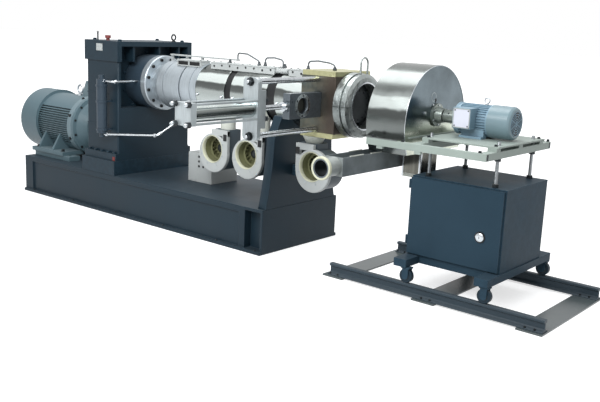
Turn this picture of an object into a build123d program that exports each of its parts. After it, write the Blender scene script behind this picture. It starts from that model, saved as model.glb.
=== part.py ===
"""Plastic extruder with a hydraulic screen changer and a cutter trolley on rails.

Millimetres. The origin lies on the floor at the centre of the base's underside,
+X runs along the barrel from the drive to the die, +Z is up, and -Y is the
operator's side, where the screen changer's cylinder and the cabinet door are.
"""
from build123d import *
from math import cos, pi, sin, sqrt
import os

# Main sizes
AXIS_Z = 1100.0                # height of the screw, die and cutter axis
SEAT = 0.3                     # clearance between pieces that sit on each other
RUNNING = 0.05                 # radial clearance of a shaft or pin in its bore

# Base frame
BASE_WIDTH = 900.0
BASE_HEIGHT = 330.0
FOOT_FLANGE_HEIGHT = 24.0
FOOT_FLANGE_REACH = 18.0
PANEL_RECESS = 14.0
PANEL_TOP_RAIL = 46.0
REAR_POST = 120.0
FRONT_BAY = 150.0
FRONT_BAY_DEPTH = 70.0
FRONT_PLATE = 22.0
PEDESTAL_THICKNESS = 76.0
PEDESTAL_WIDTH = 800.0
PEDESTAL_WAIST = 660.0         # width under the saddle, above the flared foot
PEDESTAL_NECK = 520.0
PEDESTAL_SLOPE = 150.0         # height of the slanted shoulder under the saddle
PEDESTAL_FLARE = 12.0          # how far the flared sides curve in from straight

# Gearbox
PLINTH_HEIGHT = 120.0
PLINTH_START = 890.0           # from the rear end of the base
PLINTH_LENGTH = 440.0
PLINTH_INSET = 12.0
GEARBOX_START = 915.0          # from the rear end of the base
GEARBOX_LENGTH = 412.0
GEARBOX_WIDTH = 784.0
GEARBOX_TOP = 1434.0
GEARBOX_FOOT = 60.0
COVER_HEIGHT = 164.0
COVER_LIP = 14.0
COVER_BORDER = 40.0
RECESS_DEPTH = 120.0
RECESS_NEAR = 30.0
RECESS_FAR = 34.0
RECESS_BOTTOM = 890.0
RIB_YS = (-225.0, 50.0, 270.0)
RIB_THICKNESS = 18.0
BOSS_RADIUS = 226.0
BOSS_DEPTH = 86.0              # how far the boss stands out of the housing
FOOT_STEP = 26.0               # how far the housing's foot stands out at the sides
FILTER_OFFSET = 305.0          # from the housing's rear
FILTER_RADIUS = 42.0
FILTER_BOTTOM = 684.0
FILTER_TOP = 1125.0
FILTER_GAP = 14.0
FILTER_UNION = 12.0            # length of a pipe union
PIPE_RADIUS = 9.0
PIPE_BEND = 40.0
LOWER_PIPE_TURN = (227.0, -240.0, 692.0)     # from the feed section's start, and world Y and Z
LOWER_PIPE_RISE = (319.0, -60.0, 828.0)

# Main motor
MOTOR_RISE = 301.0             # axis above the base's top
MOTOR_RADIUS = 262.0
MOTOR_LENGTH = 545.0
MOTOR_START = -60.0            # finned body, from the rear end of the base
FIN_COUNT = 17                 # fins on each side
FIN_PITCH = 20.0
FIN_THICKNESS = 7.0
FIN_DEPTH = 24.0
COWL_RADIUS = 286.0
COWL_LENGTH = 290.0
COWL_SHEET = 6.0
COWL_OVERLAP = 24.0
GRILLE_RINGS = (60.0, 110.0, 160.0, 205.0)
GRILLE_SLOT = 18.0
BELL_LENGTH = 165.0
BELL_FLANGE = 34.0
BELL_NOSE_RADIUS = 130.0
FOOT_HALF_SPAN = 345.0
FOOT_WIDTH = 150.0
FOOT_THICKNESS = 34.0
FOOT_WEB = 26.0
SLIDE_RAIL_HEIGHT = 42.0
SLIDE_RAIL_WIDTH = 120.0
SLIDE_RAIL_SLOT = 18.0
SLIDE_RAIL_SLOT_DEPTH = 22.0
MOTOR_SHAFT_RADIUS = 45.0
GUARD_RADIUS = 150.0
TERMINAL_BOX_START = 150.0     # from the start of the finned body
TERMINAL_BOX_LENGTH = 280.0
TERMINAL_BOX_REACH = 376.0     # its far face, from the motor's axis
TERMINAL_BOX_HEIGHT = 190.0
TERMINAL_BOX_LID = 18.0

# Feed section and barrel
FEED_FLANGE_RADIUS = 228.0
FEED_FLANGE_THICKNESS = 56.0
FEED_NECK_RADIUS = 165.0
FEED_NECK_LENGTH = 31.0
FEED_CONE_LENGTH = 75.0
FEED_RADIUS = 196.0
FEED_GROOVE_START = 234.0      # from the feed section's start
FEED_GROOVE_WIDTH = 6.0
FEED_GROOVE_DEPTH = 5.0
FEED_BODY_LENGTH = 424.0       # flange, cone and body together
FEED_GAP = 17.0
FEED_GAP_DEPTH = 22.0
FEED_RING_SEAM = 110.0
FEED_RING_LENGTH = 180.0
BARREL_RADIUS = 150.0
COVER_RADIUS = 198.0
COVER_EDGE = 5.0
COVER_LENGTHS = (315.0, 361.0, 254.0)
COVER_BANDS = (64.0, 83.0)
BAND_STEP = 12.0
COVER_END_GAP = 4.0
BOX_TOP = 216.0                # boxes on the barrel, above its axis
BOX_NEAR = -110.0
BOX_FAR = -10.0
FEED_BOX = (317.0, 275.0)      # start from the feed section's start, and length
MIDDLE_BOX = (84.0, 662.0)     # start from the first cover's start, and length
FRONT_BOX = (-199.0, 195.0)    # start from the block, and length
GLAND_START = 9.0              # ribbed gland, from the second cover's end
GLAND_LENGTH = 107.0
GLAND_RADIUS = 22.0
GLAND_RIBS = 6
GLAND_Y = -80.0
TOP_BAR_Z = 234.0              # above the axis
TOP_BAR_THICKNESS = 12.0
TOP_BAR_START = 94.0           # from the feed section's start
TOP_BAR_LENGTH = 782.0
TOP_BAR_NEAR = 10.0
TOP_BAR_FAR = 40.0
TOP_POSTS = (109.0, 288.0, 469.0)
TOP_POST_WIDTH = 18.0
CONDUIT_RADIUS = 6.0
CONDUIT_BEND = 26.0
CONDUIT_RISE = 78.0            # top of the conduits' arches above the boxes
CONDUIT_Y = -60.0

# Screen changer
BLOCK_START = 115.0            # from the front of the base
BLOCK_LENGTH = 300.0
BLOCK_WIDTH = 400.0
BLOCK_HEIGHT = 390.0
CLAMP_BAR = 34.0
SLIDE_THICKNESS = 60.0
SLIDE_HEIGHT = 170.0
SLIDE_OUT = 330.0              # how far the screen slide shows at rest
SLIDE_TRAVEL = 190.0
SCREEN_RADIUS = 55.0
CYLINDER_RADIUS = 52.0
CYLINDER_WALL = 8.0
CYLINDER_LENGTH = 520.0
CAP_SIZE = 134.0
REAR_CAP = 46.0
FRONT_CAP = 46.0
FRONT_CAP_WIDTH = 120.0
FRONT_CAP_HEIGHT = 240.0
TIE_ROD_RADIUS = 8.0
TIE_ROD_INSET = 9.0
TIE_ROD_END = 43.0             # how far the tie rods stand out behind the rear cap
TIE_NUT_ACROSS = 26.0
TIE_NUT_HEIGHT = 16.0
PLATE_WIDTH = 126.0
PLATE_HEIGHT = 396.0
PLATE_THICKNESS = 34.0
PLATE_CORNER = 30.0
PLATE_Y = -860.0
ROD_RADIUS = 18.0
ROD_EYE = 14.0                 # how much wider the rod's end piece is than the rod
ROD_EYE_LENGTH = 40.0
PISTON_LENGTH = 30.0
PISTON_AT = 150.0              # from the cylinder's rear end
TIE_BAR_RADIUS = 19.0
TIE_BAR_INSET = 23.0           # from the block's top and bottom
TIE_BAR_NUT = 30.0

# Die
RING_RADIUS = 224.0
RING_STEP_RADIUS = 219.0
RING_GROOVE = 10.0
RING_GROOVE_RADIUS = 208.0
RING_LIP_RADIUS = 196.0
RING_BORE = 157.0
RING_FIRST = 66.0
RING_SECOND = 50.0
DIE_PLATE_THICKNESS = 40.0
DIE_NOSE = 16.0
DIE_HOLES = 12
DIE_HOLE_RADIUS = 6.0
DIE_HOLE_CIRCLE = 100.0
LOOP_HEIGHT = 110.0
LOOP_WIDTH = 80.0
LOOP_ROD = 7.0

# Blowers under the barrel
BLOWER_XS = (-712.0, -356.0, 270.0)      # from the front of the base
BLOWER_RADIUS = 140.0
BLOWER_DEPTH = 150.0
BLOWER_FACE = -215.0
BLOWER_Z = 665.0
BLOWER_SHIFT = 8.0             # the scroll's centre, from its inlet's
BLOWER_DROP = 30.0
BLOWER_HOLLOW = 90.0
INLET_BORE = 104.0
INLET_PLATE = 152.0
INLET_LENGTH = 30.0
INLET_EDGE = 5.0
NECK_TOP = 821.0
NECK_INSET = 12.0
NECK_WIDTH = 150.0
NECK_SIDE = 65.0               # the neck's centre, from the inlet's
DUCT_RADIUS = 58.0
DUCT_MOUTH = 84.0
ARM_DEPTH = 50.0
ARM_HEIGHT = 80.0
TERMINAL_CABINET_START = -1176.0         # from the front of the base
TERMINAL_CABINET_LENGTH = 272.0
TERMINAL_CABINET_NEAR = -60.0
TERMINAL_CABINET_FAR = 240.0
TERMINAL_CABINET_HEIGHT = 240.0

# Rails
RAIL_START = 615.0             # from the front of the base
RAIL_LENGTH = 1510.0
RAIL_GAUGE = 820.0             # centre to centre
RAIL_HEIGHT = 75.0
RAIL_HEAD = 38.0
RAIL_HEAD_HEIGHT = 18.0
RAIL_FOOT = 70.0
RAIL_FOOT_HEIGHT = 8.0
RAIL_WEB = 10.0
SLEEPER_THICKNESS = 10.0
SLEEPER_WIDTH = 160.0
SLEEPER_LENGTH = 925.0
SLEEPER_OVERHANG = 31.0        # the first sleeper sticks out past the rails' start
SLEEPER_END = 6.0              # the last sleeper sticks out past the rails' end

# Trolley
TRAVEL_IN = 290.0              # how far the trolley rolls to the die from where it stands
CABINET_START = 1122.0         # from the front of the base
CABINET_LENGTH = 640.0
CABINET_WIDTH = 568.0
CABINET_HEIGHT = 505.0
CABINET_SHEET = 6.0
FRAME_HEIGHT = 50.0
FRAME_TUBE = 50.0
WHEEL_RADIUS = 45.0
WHEEL_WIDTH = 30.0
WHEEL_XS = (1205.0, 1742.0)    # from the front of the base
ARM_XS = (1167.0, 1725.0)
ARM_WIDTH = 90.0
AXLE_RADIUS = 8.0
FORK_CHEEK = 6.0
FORK_GAP = 3.0
CASTER_RISE = 56.0             # from the axle to the arm's underside
DOOR_THICKNESS = 18.0
DOOR_MARGIN = 8.0
HINGE_RADIUS = 8.0
HINGE_PIN = 4.0
HINGE_LENGTH = 28.0
HINGE_ZS = (300.0, 660.0)
LOCK_RADIUS = 17.0
LOCK_FROM_EDGE = 137.0
LOCK_HEIGHT = 205.0

# Table and columns
TABLE_START = 860.0            # from the front of the base
TABLE_LENGTH = 830.0
TABLE_TOP = 962.0
TABLE_HALF = 444.0
TUBE_WIDTH = 30.0
TUBE_HEIGHT = 44.0
CROSS_WIDTH = 60.0
COLUMN_RADIUS = 10.5
COLUMN_XS = (1205.0, 1660.0)
COLUMN_Y = 235.0
COLUMN_ABOVE = 52.0
NUT_ACROSS = 36.0
NUT_HEIGHT = 20.0
MOTOR_PLATE_START = 1190.0
MOTOR_PLATE_LENGTH = 510.0
MOTOR_PLATE_WIDTH = 640.0
MOTOR_PLATE_THICKNESS = 10.0
SPACER_HEIGHT = 20.0
SPACER_WIDTH = 50.0

# Hood and cutter
DRUM_START = 804.0             # from the front of the base
DRUM_LENGTH = 285.0
DRUM_RADIUS = 372.0
DRUM_SHEET = 6.0
DRUM_DROP = 54.0               # the drum's centre lies this far below the shaft
DIE_RING_CLEAR = 8.0           # the hood's floor lies this far below the die ring
HOOD_FLANGE = 6.0
CHUTE_X = (116.0, 256.0)       # from the drum's front
CHUTE_HALF = 100.0
CHUTE_DROP = 175.0
CUTTER_SHAFT = 20.0
SHAFT_HOLE_CLEAR = 6.0
BEARING_LENGTH = 62.0
BEARING_RADIUS = 52.0
BEARING_FLANGE_RADIUS = 74.0
BEARING_FLANGE = 14.0
COUPLING_RADIUS = 42.0
CUTTER_MOTOR_START = 1262.0
CUTTER_BODY_LENGTH = 232.0
CUTTER_MOTOR_RADIUS = 98.0
CUTTER_FIN_COUNT = 36
CUTTER_FIN_THICKNESS = 3.5
CUTTER_FIN_DEPTH = 10.0
CUTTER_FLANGE = 31.0
CUTTER_FOOT_REACH = 108.0
CUTTER_FOOT_HEIGHT = 14.0
CUTTER_BOX_START = 34.0
CUTTER_BOX_LENGTH = 122.0
CUTTER_BOX_REACH = 158.0
CUTTER_BOX_BOTTOM = -48.0      # from the shaft's axis
CUTTER_BOX_TOP = 78.0
CUTTER_COWL_LENGTH = 151.0
CUTTER_COWL_RADIUS = 102.0
CUTTER_COWL_END = 88.0
CUTTER_COWL_ROUND = 18.0
KNIFE_COUNT = 4
KNIFE_REACH = 118.0
KNIFE_HUB_RADIUS = 46.0
KNIFE_HUB_LENGTH = 50.0
KNIFE_THICKNESS = 12.0
KNIFE_WIDTH = 30.0
KNIFE_GAP = 6.0                # from the die's face with the trolley rolled in
TROUGH_MIDDLE = 31.0           # from the drum's front
TROUGH_WIDTH = 130.0
TROUGH_SHEET = 5.0
TROUGH_DEPTH = 117.0
TROUGH_BACK = 40.0
TROUGH_END = -730.0
PELLET_HOLE_HALF = 48.0
PELLET_HOLE_NEAR = -290.0
OUTLET_RADIUS = 60.0
OUTLET_WALL = 8.0
OUTLET_LENGTH = 130.0
OUTLET_COLLAR = 68.0
OUTLET_COLLAR_LENGTH = 14.0

# Places worked out from the sizes above
FEED_LENGTH = FEED_BODY_LENGTH + FEED_GAP + FEED_RING_LENGTH
HEATED_LENGTH = sum(COVER_LENGTHS) + sum(COVER_BANDS) + COVER_END_GAP
BASE_LENGTH = GEARBOX_START + GEARBOX_LENGTH + BOSS_DEPTH + FEED_LENGTH + HEATED_LENGTH - BLOCK_START
REAR = -BASE_LENGTH / 2
FRONT = BASE_LENGTH / 2
GEARBOX_X0 = REAR + GEARBOX_START
GEARBOX_X1 = GEARBOX_X0 + GEARBOX_LENGTH
PLINTH_TOP = BASE_HEIGHT + PLINTH_HEIGHT
MOTOR_AXIS_Z = BASE_HEIGHT + MOTOR_RISE
FEED_X0 = GEARBOX_X1 + BOSS_DEPTH
FEED_X1 = FEED_X0 + FEED_LENGTH
BLOCK_X0 = FRONT + BLOCK_START
BLOCK_X1 = BLOCK_X0 + BLOCK_LENGTH
BLOCK_MID = (BLOCK_X0 + BLOCK_X1) / 2
MOTOR_X0 = REAR + MOTOR_START
MOTOR_X1 = MOTOR_X0 + MOTOR_LENGTH
RAIL_TOP = SLEEPER_THICKNESS + RAIL_HEIGHT
AXLE_Z = RAIL_TOP + WHEEL_RADIUS + SEAT
FRAME_Z = AXLE_Z + CASTER_RISE
CABINET_Z0 = FRAME_Z + FRAME_HEIGHT
CABINET_Z1 = CABINET_Z0 + CABINET_HEIGHT
CABINET_X0 = FRONT + CABINET_START
CABINET_X1 = CABINET_X0 + CABINET_LENGTH
TABLE_X0 = FRONT + TABLE_START
TABLE_X1 = TABLE_X0 + TABLE_LENGTH
PLATE_BOTTOM = TABLE_TOP + SPACER_HEIGHT
PLATE_TOP = PLATE_BOTTOM + MOTOR_PLATE_THICKNESS
DRUM_X0 = FRONT + DRUM_START
DRUM_X1 = DRUM_X0 + DRUM_LENGTH
DRUM_Z = AXIS_Z - DRUM_DROP
HOOD_FLOOR = AXIS_Z - RING_RADIUS - DIE_RING_CLEAR - DRUM_SHEET
TROUGH_X = DRUM_X0 + TROUGH_MIDDLE
DIE_FACE = BLOCK_X1 + DIE_PLATE_THICKNESS + DIE_NOSE
KNIFE_X = DIE_FACE + KNIFE_GAP + TRAVEL_IN
DOOR_Y = -CABINET_WIDTH / 2 - 0.5 - DOOR_THICKNESS / 2


def block(x0, x1, y0, y1, z0, z1):
    """A box between two corners."""
    size = Box(x1 - x0, y1 - y0, z1 - z0)
    return Pos((x0 + x1) / 2, (y0 + y1) / 2, (z0 + z1) / 2) * size


def rod_x(x0, x1, y, z, radius):
    """A round bar along X."""
    return Pos((x0 + x1) / 2, y, z) * Rot(0, 90, 0) * Cylinder(radius, x1 - x0)


def rod_y(y0, y1, x, z, radius):
    """A round bar along Y."""
    return Pos(x, (y0 + y1) / 2, z) * Rot(90, 0, 0) * Cylinder(radius, y1 - y0)


def rod_z(z0, z1, x, y, radius):
    """A round bar along Z."""
    return Pos(x, y, (z0 + z1) / 2) * Cylinder(radius, z1 - z0)


def turned_x(points, y, z):
    """A turned piece: (x, radius) points revolved about an axis along X."""
    outline = Polyline([(x, 0, r) for x, r in points], close=True)
    return Pos(0, y, z) * revolve(make_face(outline), Axis.X, 360)


def pipe(points, bend, radius):
    """A bent pipe through the given points."""
    path = FilletPolyline(*points, radius=bend)
    start = Plane(origin=path @ 0, z_dir=path % 0)
    return sweep(start * Circle(radius), path=path)


def hex_nut(x, y, z0, height, across):
    """A hexagonal nut standing on z0."""
    radius = across / sqrt(3)
    return extrude(Pos(x, y, z0) * RegularPolygon(radius, 6), height)


def save(name, *solids):
    """Write one sub-part."""
    shape = solids[0] if len(solids) == 1 else Compound(children=list(solids))
    export_step(shape, "parts/" + name + ".step")


def base_frame():
    """Welded base: foot flange, recessed side panels and an open bay at the front."""
    half = BASE_WIDTH / 2
    side = half - FOOT_FLANGE_REACH
    body = block(REAR, FRONT, -side, side, 0, BASE_HEIGHT)
    body += block(REAR, FRONT, -half, half, 0, FOOT_FLANGE_HEIGHT)
    panel_x0 = REAR + REAR_POST
    panel_x1 = FRONT - FRONT_BAY - FRONT_PLATE
    for sign in (-1, 1):
        outer = sign * (half + 1)
        panel = sign * (side - PANEL_RECESS)
        bay = sign * (side - FRONT_BAY_DEPTH)
        body -= block(panel_x0, panel_x1 - REAR_POST / 2, min(outer, panel), max(outer, panel),
                      FOOT_FLANGE_HEIGHT, BASE_HEIGHT - PANEL_TOP_RAIL)
        body -= block(panel_x1, FRONT - FRONT_PLATE, min(outer, bay), max(outer, bay),
                      FOOT_FLANGE_HEIGHT, BASE_HEIGHT - FRONT_PLATE)
    save("base_frame", body)


def front_pedestal():
    """Stand that carries the barrel's front end: a wide foot and a saddle."""
    x1 = FRONT
    x0 = FRONT - PEDESTAL_THICKNESS
    half = PEDESTAL_WIDTH / 2
    waist = PEDESTAL_WAIST / 2
    neck = PEDESTAL_NECK / 2
    saddle_z = AXIS_Z - COVER_RADIUS * 0.55
    shoulder = saddle_z - PEDESTAL_SLOPE
    bow_y = (half + waist) / 2 - PEDESTAL_FLARE
    bow_z = (BASE_HEIGHT + shoulder) / 2
    near_side = ThreePointArc((-half, BASE_HEIGHT), (-bow_y, bow_z), (-waist, shoulder))
    top = Polyline((-waist, shoulder), (-neck, saddle_z), (neck, saddle_z), (waist, shoulder))
    far_side = ThreePointArc((waist, shoulder), (bow_y, bow_z), (half, BASE_HEIGHT))
    bottom = Line((half, BASE_HEIGHT), (-half, BASE_HEIGHT))
    outline = make_face([near_side, top, far_side, bottom])
    profile = Plane(origin=(x0, 0, 0), x_dir=(0, 1, 0), z_dir=(1, 0, 0)) * outline
    stand = extrude(profile, x1 - x0)
    stand -= rod_x(x0 - 1, x1 + 1, 0, AXIS_Z, COVER_RADIUS + SEAT)
    save("front_pedestal", stand)


def gearbox():
    """Plinth, housing with foot and bearing boss, cover, breathers and oil filter."""
    half = GEARBOX_WIDTH / 2
    x0, x1 = GEARBOX_X0, GEARBOX_X1
    side = BASE_WIDTH / 2 - PLINTH_INSET
    plinth = block(REAR + PLINTH_START, REAR + PLINTH_START + PLINTH_LENGTH, -side, side,
                   BASE_HEIGHT, PLINTH_TOP)
    save("gearbox_plinth", plinth)

    split = GEARBOX_TOP - COVER_HEIGHT
    recess_x = x1 - RECESS_DEPTH
    recess = block(recess_x, x1 + COVER_LIP + 1, -half + RECESS_NEAR, half - RECESS_FAR, RECESS_BOTTOM,
                   GEARBOX_TOP - COVER_BORDER)
    body = fillet(block(x0, x1, -half, half, PLINTH_TOP, split).edges().filter_by(Axis.Z), 12)
    foot = half + FOOT_STEP
    body += block(x0 - 10, x1, -foot, foot, PLINTH_TOP, PLINTH_TOP + GEARBOX_FOOT)
    body -= recess
    body -= rod_x(recess_x, x1 + 1, 0, AXIS_Z, BOSS_RADIUS + SEAT)
    save("gearbox_housing", body)

    lip = half + COVER_LIP
    cover = block(x0 - COVER_LIP, x1 + COVER_LIP, -lip, lip, split, GEARBOX_TOP)
    cover -= recess
    for y in RIB_YS:
        cover += block(recess_x - 1, x1, y - RIB_THICKNESS / 2, y + RIB_THICKNESS / 2, split,
                       GEARBOX_TOP - COVER_BORDER + 1)
    cover -= rod_x(recess_x - 2, x1 + 1, 0, AXIS_Z, BOSS_RADIUS + SEAT)
    save("gearbox_cover", cover)

    boss = turned_x([(recess_x, 0), (recess_x, BOSS_RADIUS), (x1 + BOSS_DEPTH - 8, BOSS_RADIUS),
                     (x1 + BOSS_DEPTH, BOSS_RADIUS - 8), (x1 + BOSS_DEPTH, 0)], 0, AXIS_Z)
    save("gearbox_bearing_boss", boss)

    near = (x0 + 70, -half + 60)
    breather = rod_z(GEARBOX_TOP, GEARBOX_TOP + 18, x0 + 180, near[1] + 20, 15)
    breather += rod_z(GEARBOX_TOP + 18, GEARBOX_TOP + 42, x0 + 180, near[1] + 20, 24)
    spike = rod_z(GEARBOX_TOP, GEARBOX_TOP + 70, near[0], near[1], 7)
    save("gearbox_breathers", breather, spike)

    fx = x0 + FILTER_OFFSET
    fy = -foot - FILTER_GAP - FILTER_RADIUS
    union_z = FILTER_TOP - FILTER_UNION
    outlet_z = FILTER_BOTTOM - FILTER_UNION
    union_radius = PIPE_RADIUS + 5
    can = rod_z(FILTER_BOTTOM, FILTER_TOP, fx, fy, FILTER_RADIUS)
    for z in (FILTER_BOTTOM + 20, FILTER_TOP - 190, FILTER_TOP - 60):
        can += rod_z(z, z + 16, fx, fy, FILTER_RADIUS + 6)
    can += rod_z(FILTER_TOP, FILTER_TOP + 34, fx, fy, 22)
    can += rod_z(FILTER_BOTTOM - 34, FILTER_BOTTOM, fx, fy, 20)
    for z in (FILTER_BOTTOM + 20, FILTER_TOP - 190):
        can += block(fx - 20, fx + 20, fy, -half, z, z + 16)
    upper_start = fx + FILTER_RADIUS + FILTER_UNION
    can += rod_x(fx, upper_start, fy, union_z, union_radius)
    save("oil_filter", can)

    boss_x = x1 + BOSS_DEPTH / 2
    upper = pipe([(upper_start, fy, union_z), (boss_x, fy, union_z), (boss_x, -BOSS_RADIUS + 10, union_z)],
                 PIPE_BEND, PIPE_RADIUS)
    upper -= rod_x(x1, x1 + BOSS_DEPTH, 0, AXIS_Z, BOSS_RADIUS + SEAT)
    turn = Vector(*LOWER_PIPE_TURN) + Vector(FEED_X0, 0, 0)
    rise = Vector(*LOWER_PIPE_RISE) + Vector(FEED_X0, 0, 0)
    outlet = Vector(fx, fy, outlet_z)
    start = outlet + (turn - outlet).normalized() * (20 + SEAT)
    under_feed = Vector(rise.X, rise.Y, AXIS_Z - FEED_RADIUS + 20)
    lower = pipe([start, turn, rise, under_feed], PIPE_BEND, PIPE_RADIUS)
    lower -= turned_x(feed_outline(SEAT), 0, AXIS_Z)
    save("oil_pipes", upper, lower)


def main_motor():
    """Finned motor on slide rails, with fan cowl, end bell, terminal box and guard."""
    rail_z = BASE_HEIGHT + SLIDE_RAIL_HEIGHT
    z = MOTOR_AXIS_Z
    core = Plane(origin=(MOTOR_X0, 0, z), x_dir=(0, 1, 0), z_dir=(1, 0, 0))
    section = Circle(MOTOR_RADIUS)
    gap = FIN_PITCH - FIN_THICKNESS
    for i in range(FIN_COUNT - 1):
        height = (i - (FIN_COUNT - 2) / 2) * FIN_PITCH
        inner = sqrt((MOTOR_RADIUS - FIN_DEPTH) ** 2 - height ** 2)
        slot = Rectangle(MOTOR_RADIUS - inner + 2, gap)
        middle = (MOTOR_RADIUS + inner + 2) / 2
        section -= [Pos(-middle, height) * slot, Pos(middle, height) * slot]
    body = extrude(core * section, MOTOR_LENGTH)
    foot_top = rail_z + FOOT_THICKNESS
    foot_x0 = MOTOR_X0 + COWL_OVERLAP + 20
    foot_x1 = MOTOR_X1 - 20
    web_top = z - MOTOR_RADIUS * 0.25
    web_in = MOTOR_RADIUS * 0.45
    web_out = MOTOR_RADIUS * 0.88
    for sign in (-1, 1):
        outer = sign * FOOT_HALF_SPAN
        inner = sign * web_in
        body += block(foot_x0, foot_x1, min(outer, inner), max(outer, inner), rail_z, foot_top)
        for x in (foot_x0 + 60, (foot_x0 + foot_x1) / 2 + 40):
            web = Polyline((outer - sign * 20, foot_top - 1), (sign * web_out, web_top),
                           (inner, web_top), (inner, foot_top - 1), close=True)
            plane = Plane(origin=(x, 0, 0), x_dir=(0, 1, 0), z_dir=(1, 0, 0))
            body += extrude(plane * make_face(web), FOOT_WEB)
    save("motor_stator", body)

    rails = []
    for sign in (-1, 1):
        y = sign * (FOOT_HALF_SPAN - FOOT_WIDTH / 2)
        rail = block(REAR + 8, MOTOR_X1 + 60, y - SLIDE_RAIL_WIDTH / 2, y + SLIDE_RAIL_WIDTH / 2,
                     BASE_HEIGHT, rail_z)
        rail -= block(REAR + 60, MOTOR_X1 + 20, y - SLIDE_RAIL_SLOT / 2, y + SLIDE_RAIL_SLOT / 2,
                      rail_z - SLIDE_RAIL_SLOT_DEPTH, rail_z + 1)
        rails.append(rail)
    save("motor_slide_rails", *rails)

    x1 = MOTOR_X0 + COWL_OVERLAP
    x0 = MOTOR_X0 - COWL_LENGTH
    r = COWL_RADIUS
    inner = r - 8 - COWL_SHEET
    lip_x = MOTOR_X0 - 2
    cowl = turned_x([(x1, MOTOR_RADIUS + SEAT), (x1, r), (x0 + 60, r), (x0 + 18, r - 26), (x0, r - 70),
                     (x0, 0), (x0 + COWL_SHEET, 0), (x0 + COWL_SHEET, r - 76), (x0 + 66, inner),
                     (lip_x, inner), (lip_x, MOTOR_RADIUS + SEAT)], 0, z)
    for ring in GRILLE_RINGS:
        slot = Circle(ring + GRILLE_SLOT / 2) - Circle(ring - GRILLE_SLOT / 2)
        for angle in (0, 60, 120):
            slot -= Rot(0, 0, angle) * Rectangle(2 * ring + 40, GRILLE_SLOT - 2)
        cut = Plane(origin=(x0 - 1, 0, z), x_dir=(0, 1, 0), z_dir=(1, 0, 0)) * slot
        cowl -= extrude(cut, COWL_SHEET + 2)
    save("motor_fan_cowl", cowl)

    b0 = MOTOR_X1
    b1 = b0 + BELL_FLANGE
    b2 = b0 + BELL_LENGTH
    bell = turned_x([(b0, 0), (b0, MOTOR_RADIUS + 6), (b1, MOTOR_RADIUS + 6), (b1 + 12, MOTOR_RADIUS - 24),
                     (b2 - 50, BELL_NOSE_RADIUS + 40), (b2 - 40, BELL_NOSE_RADIUS),
                     (b2, BELL_NOSE_RADIUS), (b2, 0)], 0, z)
    save("motor_end_bell", bell)

    g1 = REAR + PLINTH_START
    guard = rod_x(b2, g1, 0, z, GUARD_RADIUS)
    guard += block(b2, g1, -GUARD_RADIUS, GUARD_RADIUS, BASE_HEIGHT, z)
    guard += rod_x(g1, GEARBOX_X0, 0, z, MOTOR_SHAFT_RADIUS)
    save("coupling_guard", guard)

    t0 = MOTOR_X0 + TERMINAL_BOX_START
    t1 = t0 + TERMINAL_BOX_LENGTH
    reach = TERMINAL_BOX_REACH
    box_z0 = z + 10
    box_z1 = box_z0 + TERMINAL_BOX_HEIGHT
    box = block(t0, t1, MOTOR_RADIUS * 0.6, reach - TERMINAL_BOX_LID, box_z0, box_z1)
    box -= rod_x(t0 - 1, t1 + 1, 0, z, MOTOR_RADIUS + SEAT)
    box += block(t0 - 8, t1 + 8, reach - TERMINAL_BOX_LID, reach, box_z0 - 8, box_z1 + 8)
    save("motor_terminal_box", box)


def feed_outline(clearance):
    """Half outline of the feed section, grown by a clearance, for turning about the axis."""
    x0 = FEED_X0
    neck = x0 + FEED_FLANGE_THICKNESS
    cone = neck + FEED_NECK_LENGTH
    body = cone + FEED_CONE_LENGTH
    groove = x0 + FEED_GROOVE_START
    gap = x0 + FEED_BODY_LENGTH
    ring = gap + FEED_GAP
    seam = ring + FEED_RING_SEAM
    c = clearance
    depth = FEED_GROOVE_DEPTH
    low = FEED_RADIUS - FEED_GAP_DEPTH
    return [(x0, 0), (x0, FEED_FLANGE_RADIUS + c), (neck - 6, FEED_FLANGE_RADIUS + c),
            (neck, FEED_FLANGE_RADIUS - 6 + c), (neck, FEED_NECK_RADIUS + c), (cone, FEED_NECK_RADIUS + c),
            (body, FEED_RADIUS + c), (groove, FEED_RADIUS + c), (groove, FEED_RADIUS - depth + c),
            (groove + FEED_GROOVE_WIDTH, FEED_RADIUS - depth + c), (groove + FEED_GROOVE_WIDTH, FEED_RADIUS + c),
            (gap, FEED_RADIUS + c), (gap, low + c), (ring, low + c), (ring, COVER_RADIUS + c),
            (seam, COVER_RADIUS + c), (seam, COVER_RADIUS - depth + c),
            (seam + FEED_GROOVE_WIDTH, COVER_RADIUS - depth + c), (seam + FEED_GROOVE_WIDTH, COVER_RADIUS + c),
            (FEED_X1, COVER_RADIUS + c), (FEED_X1, 0)]


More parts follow.
